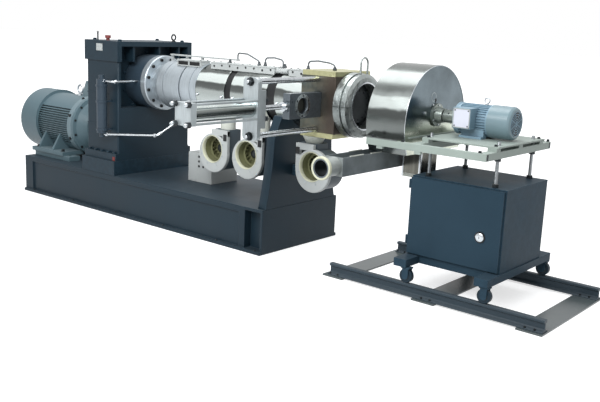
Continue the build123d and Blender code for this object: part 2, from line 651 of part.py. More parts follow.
def barrel():
    """Feed section, barrel tube, heater covers, boxes, top bar and conduits."""
    save("feed_section", turned_x(feed_outline(0), 0, AXIS_Z))

    x1 = FEED_X1
    tube = turned_x([(x1, 0), (x1, BARREL_RADIUS), (BLOCK_X0, BARREL_RADIUS), (BLOCK_X0, 0)], 0, AXIS_Z)
    covers = []
    ends = []
    x = x1 + SEAT
    inner = BARREL_RADIUS + SEAT
    edge = COVER_RADIUS - COVER_EDGE
    bands = list(COVER_BANDS) + [COVER_END_GAP]
    for length, band in zip(COVER_LENGTHS, bands):
        end = x + length - SEAT
        covers.append(turned_x([(x, inner), (x, edge), (x + COVER_EDGE, COVER_RADIUS),
                                (end - COVER_EDGE, COVER_RADIUS), (end, edge), (end, inner)], 0, AXIS_Z))
        ends.append(end)
        x += length + band
    for end, band in zip(ends, COVER_BANDS):
        tube += rod_x(end + SEAT, end + band, 0, AXIS_Z, COVER_RADIUS - BAND_STEP)
    save("barrel_tube", tube)
    save("barrel_covers", *covers)

    top = AXIS_Z + BOX_TOP
    boxes = []
    starts = (FEED_X0 + FEED_BOX[0], FEED_X1 + MIDDLE_BOX[0], BLOCK_X0 + FRONT_BOX[0])
    for box_x, length in zip(starts, (FEED_BOX[1], MIDDLE_BOX[1], FRONT_BOX[1])):
        shape = block(box_x, box_x + length, BOX_NEAR, BOX_FAR, AXIS_Z + COVER_RADIUS * 0.7, top)
        shape -= rod_x(box_x - 1, box_x + length + 1, 0, AXIS_Z, COVER_RADIUS + SEAT)
        boxes.append(shape)
    g0 = ends[1] + GLAND_START
    g1 = g0 + GLAND_LENGTH
    gland_z = top - GLAND_RADIUS
    gland = rod_x(g0, g1, GLAND_Y, gland_z, GLAND_RADIUS - 4)
    pitch = GLAND_LENGTH / GLAND_RIBS
    for i in range(GLAND_RIBS):
        gland += rod_x(g0 + i * pitch, g0 + (i + 0.5) * pitch, GLAND_Y, gland_z, GLAND_RADIUS)
    gland -= rod_x(g0 - 1, g1 + 1, 0, AXIS_Z, COVER_RADIUS + SEAT)
    boxes.append(gland)
    save("barrel_terminal_boxes", *boxes)

    bar_z = AXIS_Z + TOP_BAR_Z
    bar_x = FEED_X0 + TOP_BAR_START
    bar = block(bar_x, bar_x + TOP_BAR_LENGTH, TOP_BAR_NEAR, TOP_BAR_FAR, bar_z, bar_z + TOP_BAR_THICKNESS)
    for post_x in TOP_POSTS:
        x = FEED_X0 + post_x
        bar += block(x - TOP_POST_WIDTH / 2, x + TOP_POST_WIDTH / 2, TOP_BAR_NEAR + 6, TOP_BAR_FAR - 6,
                     AXIS_Z + FEED_NECK_RADIUS, bar_z + 1)
    bar -= turned_x(feed_outline(SEAT), 0, AXIS_Z)
    save("barrel_top_bar", bar)

    arch = top + CONDUIT_RISE
    y = CONDUIT_Y
    bar_y = (TOP_BAR_NEAR + TOP_BAR_FAR) / 2
    bar_end = bar_x + TOP_BAR_LENGTH - 2 * CONDUIT_RADIUS
    first = starts[1] + MIDDLE_BOX[1] * 0.7
    second = first + 62
    third = starts[2] + FRONT_BOX[1] * 0.72
    plates_z = AXIS_Z + BLOCK_HEIGHT / 2 + CLAMP_BAR
    feed_end = [(bar_end, bar_y, bar_z + TOP_BAR_THICKNESS), (bar_end, bar_y, arch),
                (bar_end + 150, -bar_y, arch), (first, y, arch - 44), (first, y, top)]
    middle = [(second, y, top), (second, y, arch - 16), (second + 90, y, arch - 10),
              ((g0 + g1) / 2, GLAND_Y, arch - 22), ((g0 + g1) / 2, GLAND_Y, gland_z + GLAND_RADIUS - 3)]
    front = [(third, y, top), (third, y, arch - 16), (third + 90, y, arch - 8), (third + 190, y, arch - 16),
             (third + 238, y, plates_z + 36), (third + 238, y, plates_z)]
    conduits = [pipe(points, CONDUIT_BEND, CONDUIT_RADIUS) for points in (feed_end, middle, front)]
    conduits[1] -= rod_x(g0 - 1, g1 + 1, GLAND_Y, gland_z, GLAND_RADIUS + SEAT)
    save("barrel_conduits", *conduits)


def screen_changer():
    """Block with slot, clamp bars, tie bars and the hydraulic cylinder."""
    half = BLOCK_WIDTH / 2
    z0 = AXIS_Z - BLOCK_HEIGHT / 2
    z1 = AXIS_Z + BLOCK_HEIGHT / 2
    body = block(BLOCK_X0, BLOCK_X1, -half, half, z0, z1)
    slot = SLIDE_HEIGHT / 2 + SEAT
    side = SLIDE_THICKNESS / 2 + SEAT
    body -= block(BLOCK_MID - side, BLOCK_MID + side, -half - 1, half + 1, AXIS_Z - slot, AXIS_Z + slot)
    save("screen_block", body)

    bars = [block(BLOCK_X0 + 6, BLOCK_X1 - 6, -half, half + 8, z1, z1 + CLAMP_BAR),
            block(BLOCK_X0 + 6, BLOCK_X1 - 6, -half, half + 8, z0 - CLAMP_BAR, z0)]
    save("screen_clamp_bars", *bars)

    ties = []
    head_y = PLATE_Y + PLATE_THICKNESS / 2
    c1 = PLATE_Y - PLATE_THICKNESS / 2
    tie_zs = (z0 + TIE_BAR_INSET, z1 - TIE_BAR_INSET)
    for z in tie_zs:
        tie = rod_y(head_y, -half, BLOCK_MID, z, TIE_BAR_RADIUS)
        nut = hex_nut(0, 0, 0, TIE_BAR_NUT, TIE_BAR_RADIUS * 2.6)
        tie += Pos(BLOCK_MID, head_y, z) * Rot(-90, 0, 0) * nut
        ties.append(tie)
    save("screen_tie_bars", *ties)

    plate = Plane(origin=(BLOCK_MID, c1, AXIS_Z), x_dir=(1, 0, 0), z_dir=(0, -1, 0))
    plate = extrude(plate * RectangleRounded(PLATE_WIDTH, PLATE_HEIGHT, PLATE_CORNER), -PLATE_THICKNESS)
    cap_x = FRONT_CAP_WIDTH / 2
    cap_z = FRONT_CAP_HEIGHT / 2
    plate += block(BLOCK_MID - cap_x, BLOCK_MID + cap_x, head_y, head_y + FRONT_CAP, AXIS_Z - cap_z, AXIS_Z + cap_z)
    plate -= rod_y(c1 - 1, head_y + FRONT_CAP + 1, BLOCK_MID, AXIS_Z, ROD_RADIUS + RUNNING)
    save("cylinder_mount_plate", plate)

    c0 = c1 - CYLINDER_LENGTH
    bore = CYLINDER_RADIUS - CYLINDER_WALL
    tube = rod_y(c0, c1, BLOCK_MID, AXIS_Z, CYLINDER_RADIUS)
    tube -= rod_y(c0 + 20, c1 + 1, BLOCK_MID, AXIS_Z, bore)
    save("cylinder_tube", tube)

    cap = CAP_SIZE / 2
    cap_back = c0 - REAR_CAP
    rear = block(BLOCK_MID - cap, BLOCK_MID + cap, cap_back, c0, AXIS_Z - cap, AXIS_Z + cap)
    rod_at = cap - TIE_ROD_INSET
    for x in (BLOCK_MID - rod_at, BLOCK_MID + rod_at):
        for z in (AXIS_Z - rod_at, AXIS_Z + rod_at):
            rear += rod_y(cap_back - TIE_ROD_END, c1, x, z, TIE_ROD_RADIUS)
            nut = hex_nut(0, 0, 0, TIE_NUT_HEIGHT, TIE_NUT_ACROSS)
            rear += Pos(x, cap_back, z) * Rot(90, 0, 0) * nut
    save("cylinder_rear_cap", rear)

    slide_y0 = -half - SLIDE_OUT
    slide_y1 = half - 20
    plate = block(BLOCK_MID - SLIDE_THICKNESS / 2, BLOCK_MID + SLIDE_THICKNESS / 2, slide_y0, slide_y1,
                  AXIS_Z - SLIDE_HEIGHT / 2, AXIS_Z + SLIDE_HEIGHT / 2)
    for y in (0, -half - SLIDE_OUT / 2 - 30):
        plate -= rod_x(BLOCK_MID - SLIDE_THICKNESS, BLOCK_MID + SLIDE_THICKNESS, y, AXIS_Z, SCREEN_RADIUS)
    save("screen_slide", plate)
    piston = c0 + PISTON_AT
    rod = rod_y(piston + PISTON_LENGTH, slide_y0, BLOCK_MID, AXIS_Z, ROD_RADIUS)
    rod += rod_y(piston, piston + PISTON_LENGTH, BLOCK_MID, AXIS_Z, bore - RUNNING)
    rod += rod_y(slide_y0 - ROD_EYE_LENGTH, slide_y0, BLOCK_MID, AXIS_Z, ROD_RADIUS + ROD_EYE)
    save("screen_rod", rod)


def die():
    """Double-step die ring, die plate with its holes, and the lifting loop."""
    x0 = BLOCK_X1
    x1 = x0 + RING_FIRST
    x2 = x1 + RING_SECOND
    ring = turned_x([(x0, RING_BORE), (x0, RING_RADIUS), (x1 - RING_GROOVE, RING_RADIUS),
                     (x1 - RING_GROOVE, RING_GROOVE_RADIUS), (x1, RING_GROOVE_RADIUS), (x1, RING_STEP_RADIUS),
                     (x2 - 16, RING_STEP_RADIUS), (x2, RING_LIP_RADIUS), (x2, RING_BORE)], 0, AXIS_Z)
    save("die_ring", ring)
    nose_x = x0 + DIE_PLATE_THICKNESS
    plate = rod_x(x0, nose_x, 0, AXIS_Z, RING_BORE - SEAT)
    plate += rod_x(nose_x, DIE_FACE, 0, AXIS_Z, DIE_HOLE_CIRCLE + 20)
    for i in range(DIE_HOLES):
        a = 2 * pi * i / DIE_HOLES
        plate -= rod_x(nose_x, DIE_FACE + 1, DIE_HOLE_CIRCLE * cos(a), AXIS_Z + DIE_HOLE_CIRCLE * sin(a),
                       DIE_HOLE_RADIUS)
    save("die_plate", plate)

    top = AXIS_Z + RING_STEP_RADIUS
    w = LOOP_WIDTH / 2
    x = x1 + RING_SECOND / 2 - 6
    foot = AXIS_Z + sqrt(RING_STEP_RADIUS ** 2 - w ** 2) - 2 * LOOP_ROD
    loop = pipe([(x, -w, foot), (x, -w, top + LOOP_HEIGHT), (x, w, top + LOOP_HEIGHT), (x, w, foot)],
                w - 1, LOOP_ROD)
    loop -= rod_x(x0, x2, 0, AXIS_Z, RING_STEP_RADIUS + SEAT)
    save("lifting_loop", loop)


def blowers():
    """Three cooling blowers with inlet plates and ducts to the barrel, and the front one's arm."""
    housings = []
    rings = []
    ducts = []
    y0 = BLOWER_FACE
    y1 = y0 + BLOWER_DEPTH
    middle_y = (y0 + y1) / 2
    scroll_z = BLOWER_Z - BLOWER_DROP
    for offset in BLOWER_XS:
        x = FRONT + offset
        scroll_x = x + BLOWER_SHIFT
        under_barrel = offset < 0
        duct_x = x + NECK_SIDE if under_barrel else x - NECK_SIDE
        scroll = rod_y(y0, y1, scroll_x, scroll_z, BLOWER_RADIUS)
        scroll += block(duct_x - NECK_WIDTH / 2, duct_x + NECK_WIDTH / 2, y0 + NECK_INSET, y1 - NECK_INSET,
                        scroll_z, NECK_TOP)
        scroll -= rod_y(y0 - 1, y0 + BLOWER_HOLLOW, x, BLOWER_Z, INLET_BORE)
        housings.append(scroll)
        plate = rod_y(y0 - INLET_LENGTH, y0 - SEAT, scroll_x, scroll_z, INLET_PLATE)
        plate -= rod_y(y0 - INLET_LENGTH - 1, y0, x, BLOWER_Z, INLET_BORE)
        rings.append(chamfer(plate.faces().sort_by(Axis.Y)[0].edges(), INLET_EDGE))
        foot_z = NECK_TOP + SEAT
        if under_barrel:
            duct = rod_z(foot_z, AXIS_Z - COVER_RADIUS / 2, duct_x, middle_y, DUCT_RADIUS)
            duct -= rod_x(duct_x - DUCT_RADIUS - 1, duct_x + DUCT_RADIUS + 1, 0, AXIS_Z, COVER_RADIUS + SEAT)
        else:
            mouth_z = AXIS_Z - BLOCK_HEIGHT / 2 - CLAMP_BAR - SEAT
            outline = Polyline((0, 0, foot_z), (DUCT_RADIUS, 0, foot_z), (DUCT_MOUTH, 0, mouth_z),
                               (0, 0, mouth_z), close=True)
            duct = Pos(duct_x, middle_y, 0) * revolve(make_face(outline), Axis.Z, 360)
        ducts.append(duct)
    save("blower_housings", *housings)
    save("blower_inlet_rings", *rings)
    save("blower_ducts", *ducts)

    last_x = FRONT + BLOWER_XS[-1] + BLOWER_SHIFT
    arm = block(FRONT + SEAT, last_x, y1 - ARM_DEPTH - 10, y1 - 10, scroll_z - ARM_HEIGHT, scroll_z - SEAT)
    arm -= rod_y(y0, y1 + 1, last_x, scroll_z, BLOWER_RADIUS + SEAT)
    save("blower_stands", arm)

    x0 = FRONT + TERMINAL_CABINET_START
    cabinet = block(x0, x0 + TERMINAL_CABINET_LENGTH, TERMINAL_CABINET_NEAR, TERMINAL_CABINET_FAR,
                    BASE_HEIGHT, BASE_HEIGHT + TERMINAL_CABINET_HEIGHT)
    save("terminal_cabinet", cabinet)


def rail_set():
    """Two flat-footed rails on three sleeper plates."""
    x0 = FRONT + RAIL_START
    foot = RAIL_FOOT / 2
    web = RAIL_WEB / 2
    head = RAIL_HEAD / 2
    z0 = SLEEPER_THICKNESS
    z1 = RAIL_TOP
    right = [(0, z0), (foot, z0), (foot, z0 + RAIL_FOOT_HEIGHT * 0.5), (web + 6, z0 + RAIL_FOOT_HEIGHT + 5),
             (web, z0 + RAIL_FOOT_HEIGHT + 12), (web, z1 - RAIL_HEAD_HEIGHT - 5), (head, z1 - RAIL_HEAD_HEIGHT + 3),
             (head, z1 - 4), (head - 4, z1), (0, z1)]
    left = [(-y, z) for y, z in reversed(right[1:-1])]
    outline = Polyline(right + left, close=True)
    plane = Plane(origin=(x0, 0, 0), x_dir=(0, 1, 0), z_dir=(1, 0, 0))
    rail = extrude(plane * make_face(outline), RAIL_LENGTH)
    save("rail_near", Pos(0, -RAIL_GAUGE / 2, 0) * rail)
    save("rail_far", Pos(0, RAIL_GAUGE / 2, 0) * rail)
    plates = []
    first = x0 - SLEEPER_OVERHANG
    last = x0 + RAIL_LENGTH + SLEEPER_END - SLEEPER_WIDTH
    for x in (first, (first + last) / 2, last):
        plates.append(block(x, x + SLEEPER_WIDTH, -SLEEPER_LENGTH / 2, SLEEPER_LENGTH / 2, 0, SLEEPER_THICKNESS))
    save("rail_sleepers", *plates)


def trolley_base():
    """Underframe with arms, caster forks, wheels and the cabinet with its door."""
    z0 = FRAME_Z
    z1 = CABINET_Z0
    half = CABINET_WIDTH / 2
    frame = None
    arm_end = RAIL_GAUGE / 2 + 32
    for x in ARM_XS:
        arm = block(FRONT + x - ARM_WIDTH / 2, FRONT + x + ARM_WIDTH / 2, -arm_end, arm_end, z0, z1)
        frame = arm if frame is None else frame + arm
    for sign in (-1, 1):
        y = sign * (half - FRAME_TUBE / 2)
        frame += block(CABINET_X0, CABINET_X1, y - FRAME_TUBE / 2, y + FRAME_TUBE / 2, z0, z1)
    save("trolley_underframe", frame)

    forks = []
    wheel = 0
    for i, wx in enumerate(WHEEL_XS):
        x = FRONT + wx
        for side, sign in (("near", -1), ("far", 1)):
            y = sign * RAIL_GAUGE / 2
            inner = WHEEL_WIDTH / 2 + FORK_GAP
            fork = block(x - 30, x + 30, y - inner - FORK_CHEEK, y + inner + FORK_CHEEK, z0 - 8, z0)
            for s in (-1, 1):
                c0 = y + s * inner
                c1 = y + s * (inner + FORK_CHEEK)
                cheek = block(x - 22, x + 22, min(c0, c1), max(c0, c1), AXLE_Z, z0 - 7)
                cheek += rod_y(min(c0, c1), max(c0, c1), x, AXLE_Z, 22)
                fork += cheek
            fork += rod_y(y - inner - FORK_CHEEK, y + inner + FORK_CHEEK, x, AXLE_Z, AXLE_RADIUS)
            forks.append(fork)
            tread = rod_y(y - WHEEL_WIDTH / 2, y + WHEEL_WIDTH / 2, x, AXLE_Z, WHEEL_RADIUS)
            tread = chamfer(tread.edges().filter_by(GeomType.CIRCLE), 3)
            tread -= rod_y(y - WHEEL_WIDTH, y + WHEEL_WIDTH, x, AXLE_Z, AXLE_RADIUS + RUNNING)
            save("wheel_%s_%s" % (side, ("front", "rear")[i]), tread)
    save("caster_forks", *forks)

    x0, x1 = CABINET_X0, CABINET_X1
    t = CABINET_SHEET
    shell = block(x0, x1, -half, half, CABINET_Z0, CABINET_Z1)
    shell -= block(x0 + t, x1 - t, -half - 1, half - t, CABINET_Z0 + t, CABINET_Z1 - t)
    frame = block(x0, x1, -half, -half + t, CABINET_Z0, CABINET_Z1)
    frame -= block(x0 + 30, x1 - 30, -half - 1, -half + t + 1, CABINET_Z0 + 30, CABINET_Z1 - 30)
    shell += frame
    pivot_x = x0 - HINGE_RADIUS - 1
    for z in HINGE_ZS:
        shell += rod_z(z, z + HINGE_LENGTH, pivot_x, DOOR_Y, HINGE_RADIUS)
        shell += block(pivot_x, x0 + 1, DOOR_Y, -half + 20, z, z + HINGE_LENGTH)
        shell -= block(x0, x0 + 2, DOOR_Y - 1, -half, z - 1, z + HINGE_LENGTH + 1)
        shell -= rod_z(z - 1, z + HINGE_LENGTH + 1, pivot_x, DOOR_Y, HINGE_PIN + RUNNING)
    save("cabinet_shell", shell)

    d0 = DOOR_Y - DOOR_THICKNESS / 2
    d1 = DOOR_Y + DOOR_THICKNESS / 2
    door = block(x0 + 2, x1 - DOOR_MARGIN, d0, d1, CABINET_Z0 + DOOR_MARGIN, CABINET_Z1 - DOOR_MARGIN)
    door -= block(x0 + 16, x1 - DOOR_MARGIN - 14, d0 + 3, d1 + 1, CABINET_Z0 + DOOR_MARGIN + 14,
                  CABINET_Z1 - DOOR_MARGIN - 14)
    for z in HINGE_ZS:
        zu = z + HINGE_LENGTH + 1
        door += rod_z(zu, zu + HINGE_LENGTH, pivot_x, DOOR_Y, HINGE_RADIUS)
        door += block(pivot_x, x0 + 3, DOOR_Y - 3, DOOR_Y + 3, zu, zu + HINGE_LENGTH)
        door += rod_z(z, zu + 1, pivot_x, DOOR_Y, HINGE_PIN)
    door += rod_y(d0 - 12, d0 + 1, x1 - LOCK_FROM_EDGE, CABINET_Z0 + LOCK_HEIGHT, LOCK_RADIUS)
    save("cabinet_door", door)


def table():
    """Height columns, nuts, table tubes and the cutter motor's plate."""
    z0 = TABLE_TOP - TUBE_HEIGHT
    rods = []
    nuts = []
    for cx in COLUMN_XS:
        for cy in (-COLUMN_Y, COLUMN_Y):
            x = FRONT + cx
            rods.append(rod_z(CABINET_Z1, TABLE_TOP + COLUMN_ABOVE, x, cy, COLUMN_RADIUS))
            for z in (CABINET_Z1, z0 - NUT_HEIGHT - SEAT):
                nut = hex_nut(x, cy, z, NUT_HEIGHT, NUT_ACROSS) - rod_z(z - 1, z + 50, x, cy, COLUMN_RADIUS + SEAT)
                nuts.append(nut)
    save("height_columns", *rods)
    save("column_nuts", *nuts)

    sides = []
    for sign in (-1, 1):
        y = sign * (TABLE_HALF - TUBE_WIDTH / 2)
        sides.append(block(TABLE_X0, TABLE_X1, y - TUBE_WIDTH / 2, y + TUBE_WIDTH / 2, z0, TABLE_TOP))
    save("table_side_tubes", *sides)
    inner = TABLE_HALF - TUBE_WIDTH
    cross = []
    for cx in COLUMN_XS:
        x = FRONT + cx
        tube = block(x - CROSS_WIDTH / 2, x + CROSS_WIDTH / 2, -inner, inner, z0, TABLE_TOP)
        for cy in (-COLUMN_Y, COLUMN_Y):
            tube -= rod_z(z0 - 1, TABLE_TOP + 1, x, cy, COLUMN_RADIUS + SEAT)
        cross.append(tube)
    save("table_cross_tubes", *cross)

    px0 = FRONT + MOTOR_PLATE_START
    px1 = px0 + MOTOR_PLATE_LENGTH
    plate_y = MOTOR_PLATE_WIDTH / 2
    plate = block(px0, px1, -plate_y, plate_y, PLATE_BOTTOM, PLATE_TOP)
    for cx in COLUMN_XS:
        x = FRONT + cx
        for y in (-plate_y + SPACER_WIDTH / 2, plate_y - SPACER_WIDTH / 2, 0):
            plate += block(max(px0, x - CROSS_WIDTH / 2), min(px1, x + CROSS_WIDTH / 2), y - SPACER_WIDTH / 2,
                           y + SPACER_WIDTH / 2, TABLE_TOP, PLATE_BOTTOM + 1)
        for y in (-COLUMN_Y, COLUMN_Y):
            plate -= rod_z(TABLE_TOP - 1, PLATE_TOP + 1, x, y, COLUMN_RADIUS + 2)
    save("motor_plate", plate)


def hood():
    """Hood drum cut off at its floor, with flanges on the table, a chute and the pellet trough."""
    x0, x1 = DRUM_X0, DRUM_X1
    r = DRUM_RADIUS
    t = DRUM_SHEET
    reach = r + 1
    floor = HOOD_FLOOR
    below = block(x0 - 1, x1 + 1, -reach, reach, DRUM_Z - reach, floor)
    drum = rod_x(x0, x1, 0, DRUM_Z, r) - below
    inside = rod_x(x0 - 1, x1 - t, 0, DRUM_Z, r - t)
    inside -= block(x0 - 2, x1, -reach, reach, DRUM_Z - reach, floor + t)
    drum -= inside
    drum -= rod_x(x0, x1 + 1, 0, AXIS_Z, CUTTER_SHAFT + SHAFT_HOLE_CLEAR)
    seat = TABLE_TOP + SEAT
    side = sqrt(r ** 2 - (DRUM_Z - seat) ** 2) - t / 2
    for sign in (-1, 1):
        inner = sign * side
        outer = sign * TABLE_HALF
        drum += block(x0 + t, x1, min(inner, outer), max(inner, outer), seat, seat + HOOD_FLANGE)
    c0 = x0 + CHUTE_X[0]
    c1 = x0 + CHUTE_X[1]
    drum += block(c0, c1, -CHUTE_HALF, CHUTE_HALF, floor - CHUTE_DROP, floor + 1)
    drum -= block(c0 + t, c1 - t, -CHUTE_HALF + t, CHUTE_HALF - t, floor - CHUTE_DROP - 1, floor + t + 1)
    drum -= block(max(x0 + t, TROUGH_X - PELLET_HOLE_HALF), TROUGH_X + PELLET_HOLE_HALF, PELLET_HOLE_NEAR,
                  TROUGH_BACK - 2 * TROUGH_SHEET, floor - 1, floor + t + 1)
    save("hood_drum", drum)

    half = TROUGH_WIDTH / 2
    s = TROUGH_SHEET
    top = floor - SEAT
    bottom = top - TROUGH_DEPTH
    mouth_z = (top + bottom) / 2
    outlet_end = TROUGH_END - OUTLET_LENGTH
    trough = block(TROUGH_X - half, TROUGH_X + half, TROUGH_END, TROUGH_BACK, bottom, top)
    trough -= block(TROUGH_X - half + s, TROUGH_X + half - s, TROUGH_END + s, TROUGH_BACK - s, bottom + s, top + 1)
    trough += rod_y(outlet_end, TROUGH_END + s, TROUGH_X, mouth_z, OUTLET_RADIUS - 2)
    trough += rod_y(outlet_end, outlet_end + OUTLET_COLLAR_LENGTH, TROUGH_X, mouth_z, OUTLET_COLLAR)
    trough -= rod_y(outlet_end - 1, TROUGH_END + s + 1, TROUGH_X, mouth_z, OUTLET_RADIUS - 2 - OUTLET_WALL)
    save("outlet_trough", trough)


def cutter():
    """Bearing, cutter motor and the rotor that turns."""
    x1 = DRUM_X1
    flange = BEARING_FLANGE_RADIUS
    bearing = turned_x([(x1, CUTTER_SHAFT + RUNNING), (x1, flange), (x1 + BEARING_FLANGE, flange),
                        (x1 + BEARING_FLANGE + 2, BEARING_RADIUS), (x1 + BEARING_LENGTH, BEARING_RADIUS - 6),
                        (x1 + BEARING_LENGTH, CUTTER_SHAFT + RUNNING)], 0, AXIS_Z)
    save("cutter_bearing", bearing)

    m0 = FRONT + CUTTER_MOTOR_START
    m1 = m0 + CUTTER_BODY_LENGTH
    r = CUTTER_MOTOR_RADIUS
    body_x = m0 + CUTTER_FLANGE - 1
    core = r - CUTTER_FIN_DEPTH
    plane = Plane(origin=(body_x, 0, AXIS_Z), x_dir=(0, 1, 0), z_dir=(1, 0, 0))
    fin_length = CUTTER_FIN_DEPTH * 2
    fins = PolarLocations(r - fin_length / 2, CUTTER_FIN_COUNT) * Rectangle(fin_length, CUTTER_FIN_THICKNESS)
    body = extrude(plane * (Circle(core) + [fin for fin in fins]), m1 - body_x)
    body += turned_x([(m0, 0), (m0, r * 0.75), (m0 + 10, r), (m0 + CUTTER_FLANGE, r), (m0 + CUTTER_FLANGE, 0)],
                     0, AXIS_Z)
    body -= rod_x(m0 - 1, m0 + 40, 0, AXIS_Z, CUTTER_SHAFT + RUNNING)
    foot_top = PLATE_TOP + SEAT + CUTTER_FOOT_HEIGHT
    for sign in (-1, 1):
        inner = sign * r * 0.4
        outer = sign * CUTTER_FOOT_REACH
        body += block(m0 + 60, m1 - 20, min(inner, outer), max(inner, outer), PLATE_TOP + SEAT, foot_top)
        web = sign * r * 0.82
        body += block(m0 + 60, m1 - 20, min(inner, web), max(inner, web), PLATE_TOP + SEAT, AXIS_Z - r * 0.5)
    b0 = m0 + CUTTER_BOX_START
    b1 = b0 + CUTTER_BOX_LENGTH
    body += block(b0, b1, -CUTTER_BOX_REACH, -r * 0.5, AXIS_Z + CUTTER_BOX_BOTTOM, AXIS_Z + CUTTER_BOX_TOP)
    save("cutter_motor", body)
    c1 = m1 + CUTTER_COWL_LENGTH
    cowl = turned_x([(m1 + SEAT, 0), (m1 + SEAT, CUTTER_COWL_RADIUS), (c1 - CUTTER_COWL_ROUND, CUTTER_COWL_RADIUS),
                     (c1 - 6, CUTTER_COWL_RADIUS - 6), (c1, CUTTER_COWL_END), (c1, 0)], 0, AXIS_Z)
    save("cutter_motor_cowl", cowl)

    tip = KNIFE_X + 2
    hub = KNIFE_X + 12
    shaft = rod_x(tip, m0 + 30, 0, AXIS_Z, CUTTER_SHAFT)
    shaft += rod_x(x1 + BEARING_LENGTH + 8, m0 - 6, 0, AXIS_Z, COUPLING_RADIUS)
    shaft += rod_x(hub, hub + KNIFE_HUB_LENGTH, 0, AXIS_Z, KNIFE_HUB_RADIUS)
    save("cutter_shaft", shaft)
    knives = []
    blade_length = KNIFE_REACH - KNIFE_HUB_RADIUS - SEAT
    for i in range(KNIFE_COUNT):
        arm = Rot(360 * i / KNIFE_COUNT, 0, 0) * Pos(0, 0, KNIFE_REACH - blade_length / 2)
        blade = arm * Box(KNIFE_THICKNESS, KNIFE_WIDTH, blade_length)
        blade += arm * Pos(-10, 8, blade_length * 0.28) * Box(16, 12, blade_length * 0.42)
        knives.append(Pos(KNIFE_X + 18, 0, AXIS_Z) * blade)
    save("cutter_knives", *knives)


os.makedirs("parts", exist_ok=True)
base_frame()
front_pedestal()
gearbox()
main_motor()
barrel()
screen_changer()
die()
blowers()
rail_set()
trolley_base()
table()
hood()
cutter()
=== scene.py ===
"""Looks of a plastic extruder with a screen changer and a cutter trolley on rails.

Metres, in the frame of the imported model: +X along the barrel from the drive to the
die, +Z up, -Y the operator's side.
"""

from itertools import product
from math import asin, cos, degrees, pi, radians, sin, sqrt

import bmesh
import bpy
from mathutils import Matrix, Vector


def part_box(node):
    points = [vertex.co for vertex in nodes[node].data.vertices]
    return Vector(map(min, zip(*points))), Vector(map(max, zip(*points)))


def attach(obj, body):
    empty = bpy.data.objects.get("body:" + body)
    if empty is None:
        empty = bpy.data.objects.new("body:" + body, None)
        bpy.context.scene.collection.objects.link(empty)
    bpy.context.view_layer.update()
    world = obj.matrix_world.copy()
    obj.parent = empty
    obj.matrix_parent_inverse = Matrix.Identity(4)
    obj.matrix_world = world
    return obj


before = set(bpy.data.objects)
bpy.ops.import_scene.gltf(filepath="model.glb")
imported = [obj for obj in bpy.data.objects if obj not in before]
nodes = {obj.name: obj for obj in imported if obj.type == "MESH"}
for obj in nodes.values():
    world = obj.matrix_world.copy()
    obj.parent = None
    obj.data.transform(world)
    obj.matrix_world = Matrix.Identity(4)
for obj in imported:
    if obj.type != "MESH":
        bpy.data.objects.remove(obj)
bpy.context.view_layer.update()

SIDES = (-1, 1)
X = Vector((1, 0, 0))
Y = Vector((0, 1, 0))
Z = Vector((0, 0, 1))


def srgb(red, green, blue):
    """A colour given as it looks on screen, 0 to 255, in the linear values that shaders take."""
    linear = []
    for value in (red, green, blue):
        share = value / 255
        linear.append(share / 12.92 if share <= 0.04045 else ((share + 0.055) / 1.055) ** 2.4)
    return tuple(linear)


# Colours
NAVY = srgb(25, 41, 51)
BOSS_NAVY = srgb(44, 57, 68)
MOTOR_GREEN = srgb(80, 101, 109)
FLANGE_GREEN = srgb(104, 122, 129)
LIGHT_GREY = srgb(166, 171, 171)
SATIN = srgb(168, 176, 179)
BRIGHT = srgb(190, 195, 199)
SHEET = srgb(196, 204, 202)
DRUM_PLATE = srgb(104, 116, 122)
DARK_METAL = srgb(44, 49, 52)
BLACK = srgb(20, 22, 24)
CABINET_BLUE = srgb(42, 61, 74)
TABLE_GREEN = srgb(146, 158, 152)
MOTOR_BLUE = srgb(120, 147, 163)
PALE_BLUE = srgb(210, 213, 226)
RAIL_GREY = srgb(46, 59, 68)
SLATE = srgb(92, 100, 106)
CONDUIT = srgb(98, 105, 108)
SHADED_STEEL = srgb(140, 148, 143)
COWL = srgb(112, 134, 142)
BRONZE = srgb(84, 84, 78)
BLOCK_BLUE = srgb(76, 84, 82)
BLOCK_STRAW = srgb(92, 90, 78)
BLOCK_DARK = srgb(42, 44, 44)
BLOCK_BROWN = srgb(70, 61, 55)
GOLDEN = srgb(166, 165, 128)
FOIL = srgb(158, 165, 164)
SCROLL = srgb(66, 78, 86)
TROUGH = srgb(118, 126, 129)
OUTLET = srgb(142, 148, 146)
SLEEPER = srgb(62, 72, 74)
FEED = srgb(164, 173, 179)
DUCT = srgb(186, 190, 182)
CREAM = srgb(196, 198, 176)
OLIVE = srgb(112, 114, 84)
CHUTE = srgb(92, 92, 86)
PLATE_PAINTED_REFLECTION = srgb(190, 196, 182)
DULL_RED = srgb(112, 48, 46)
DUST = srgb(140, 144, 146)


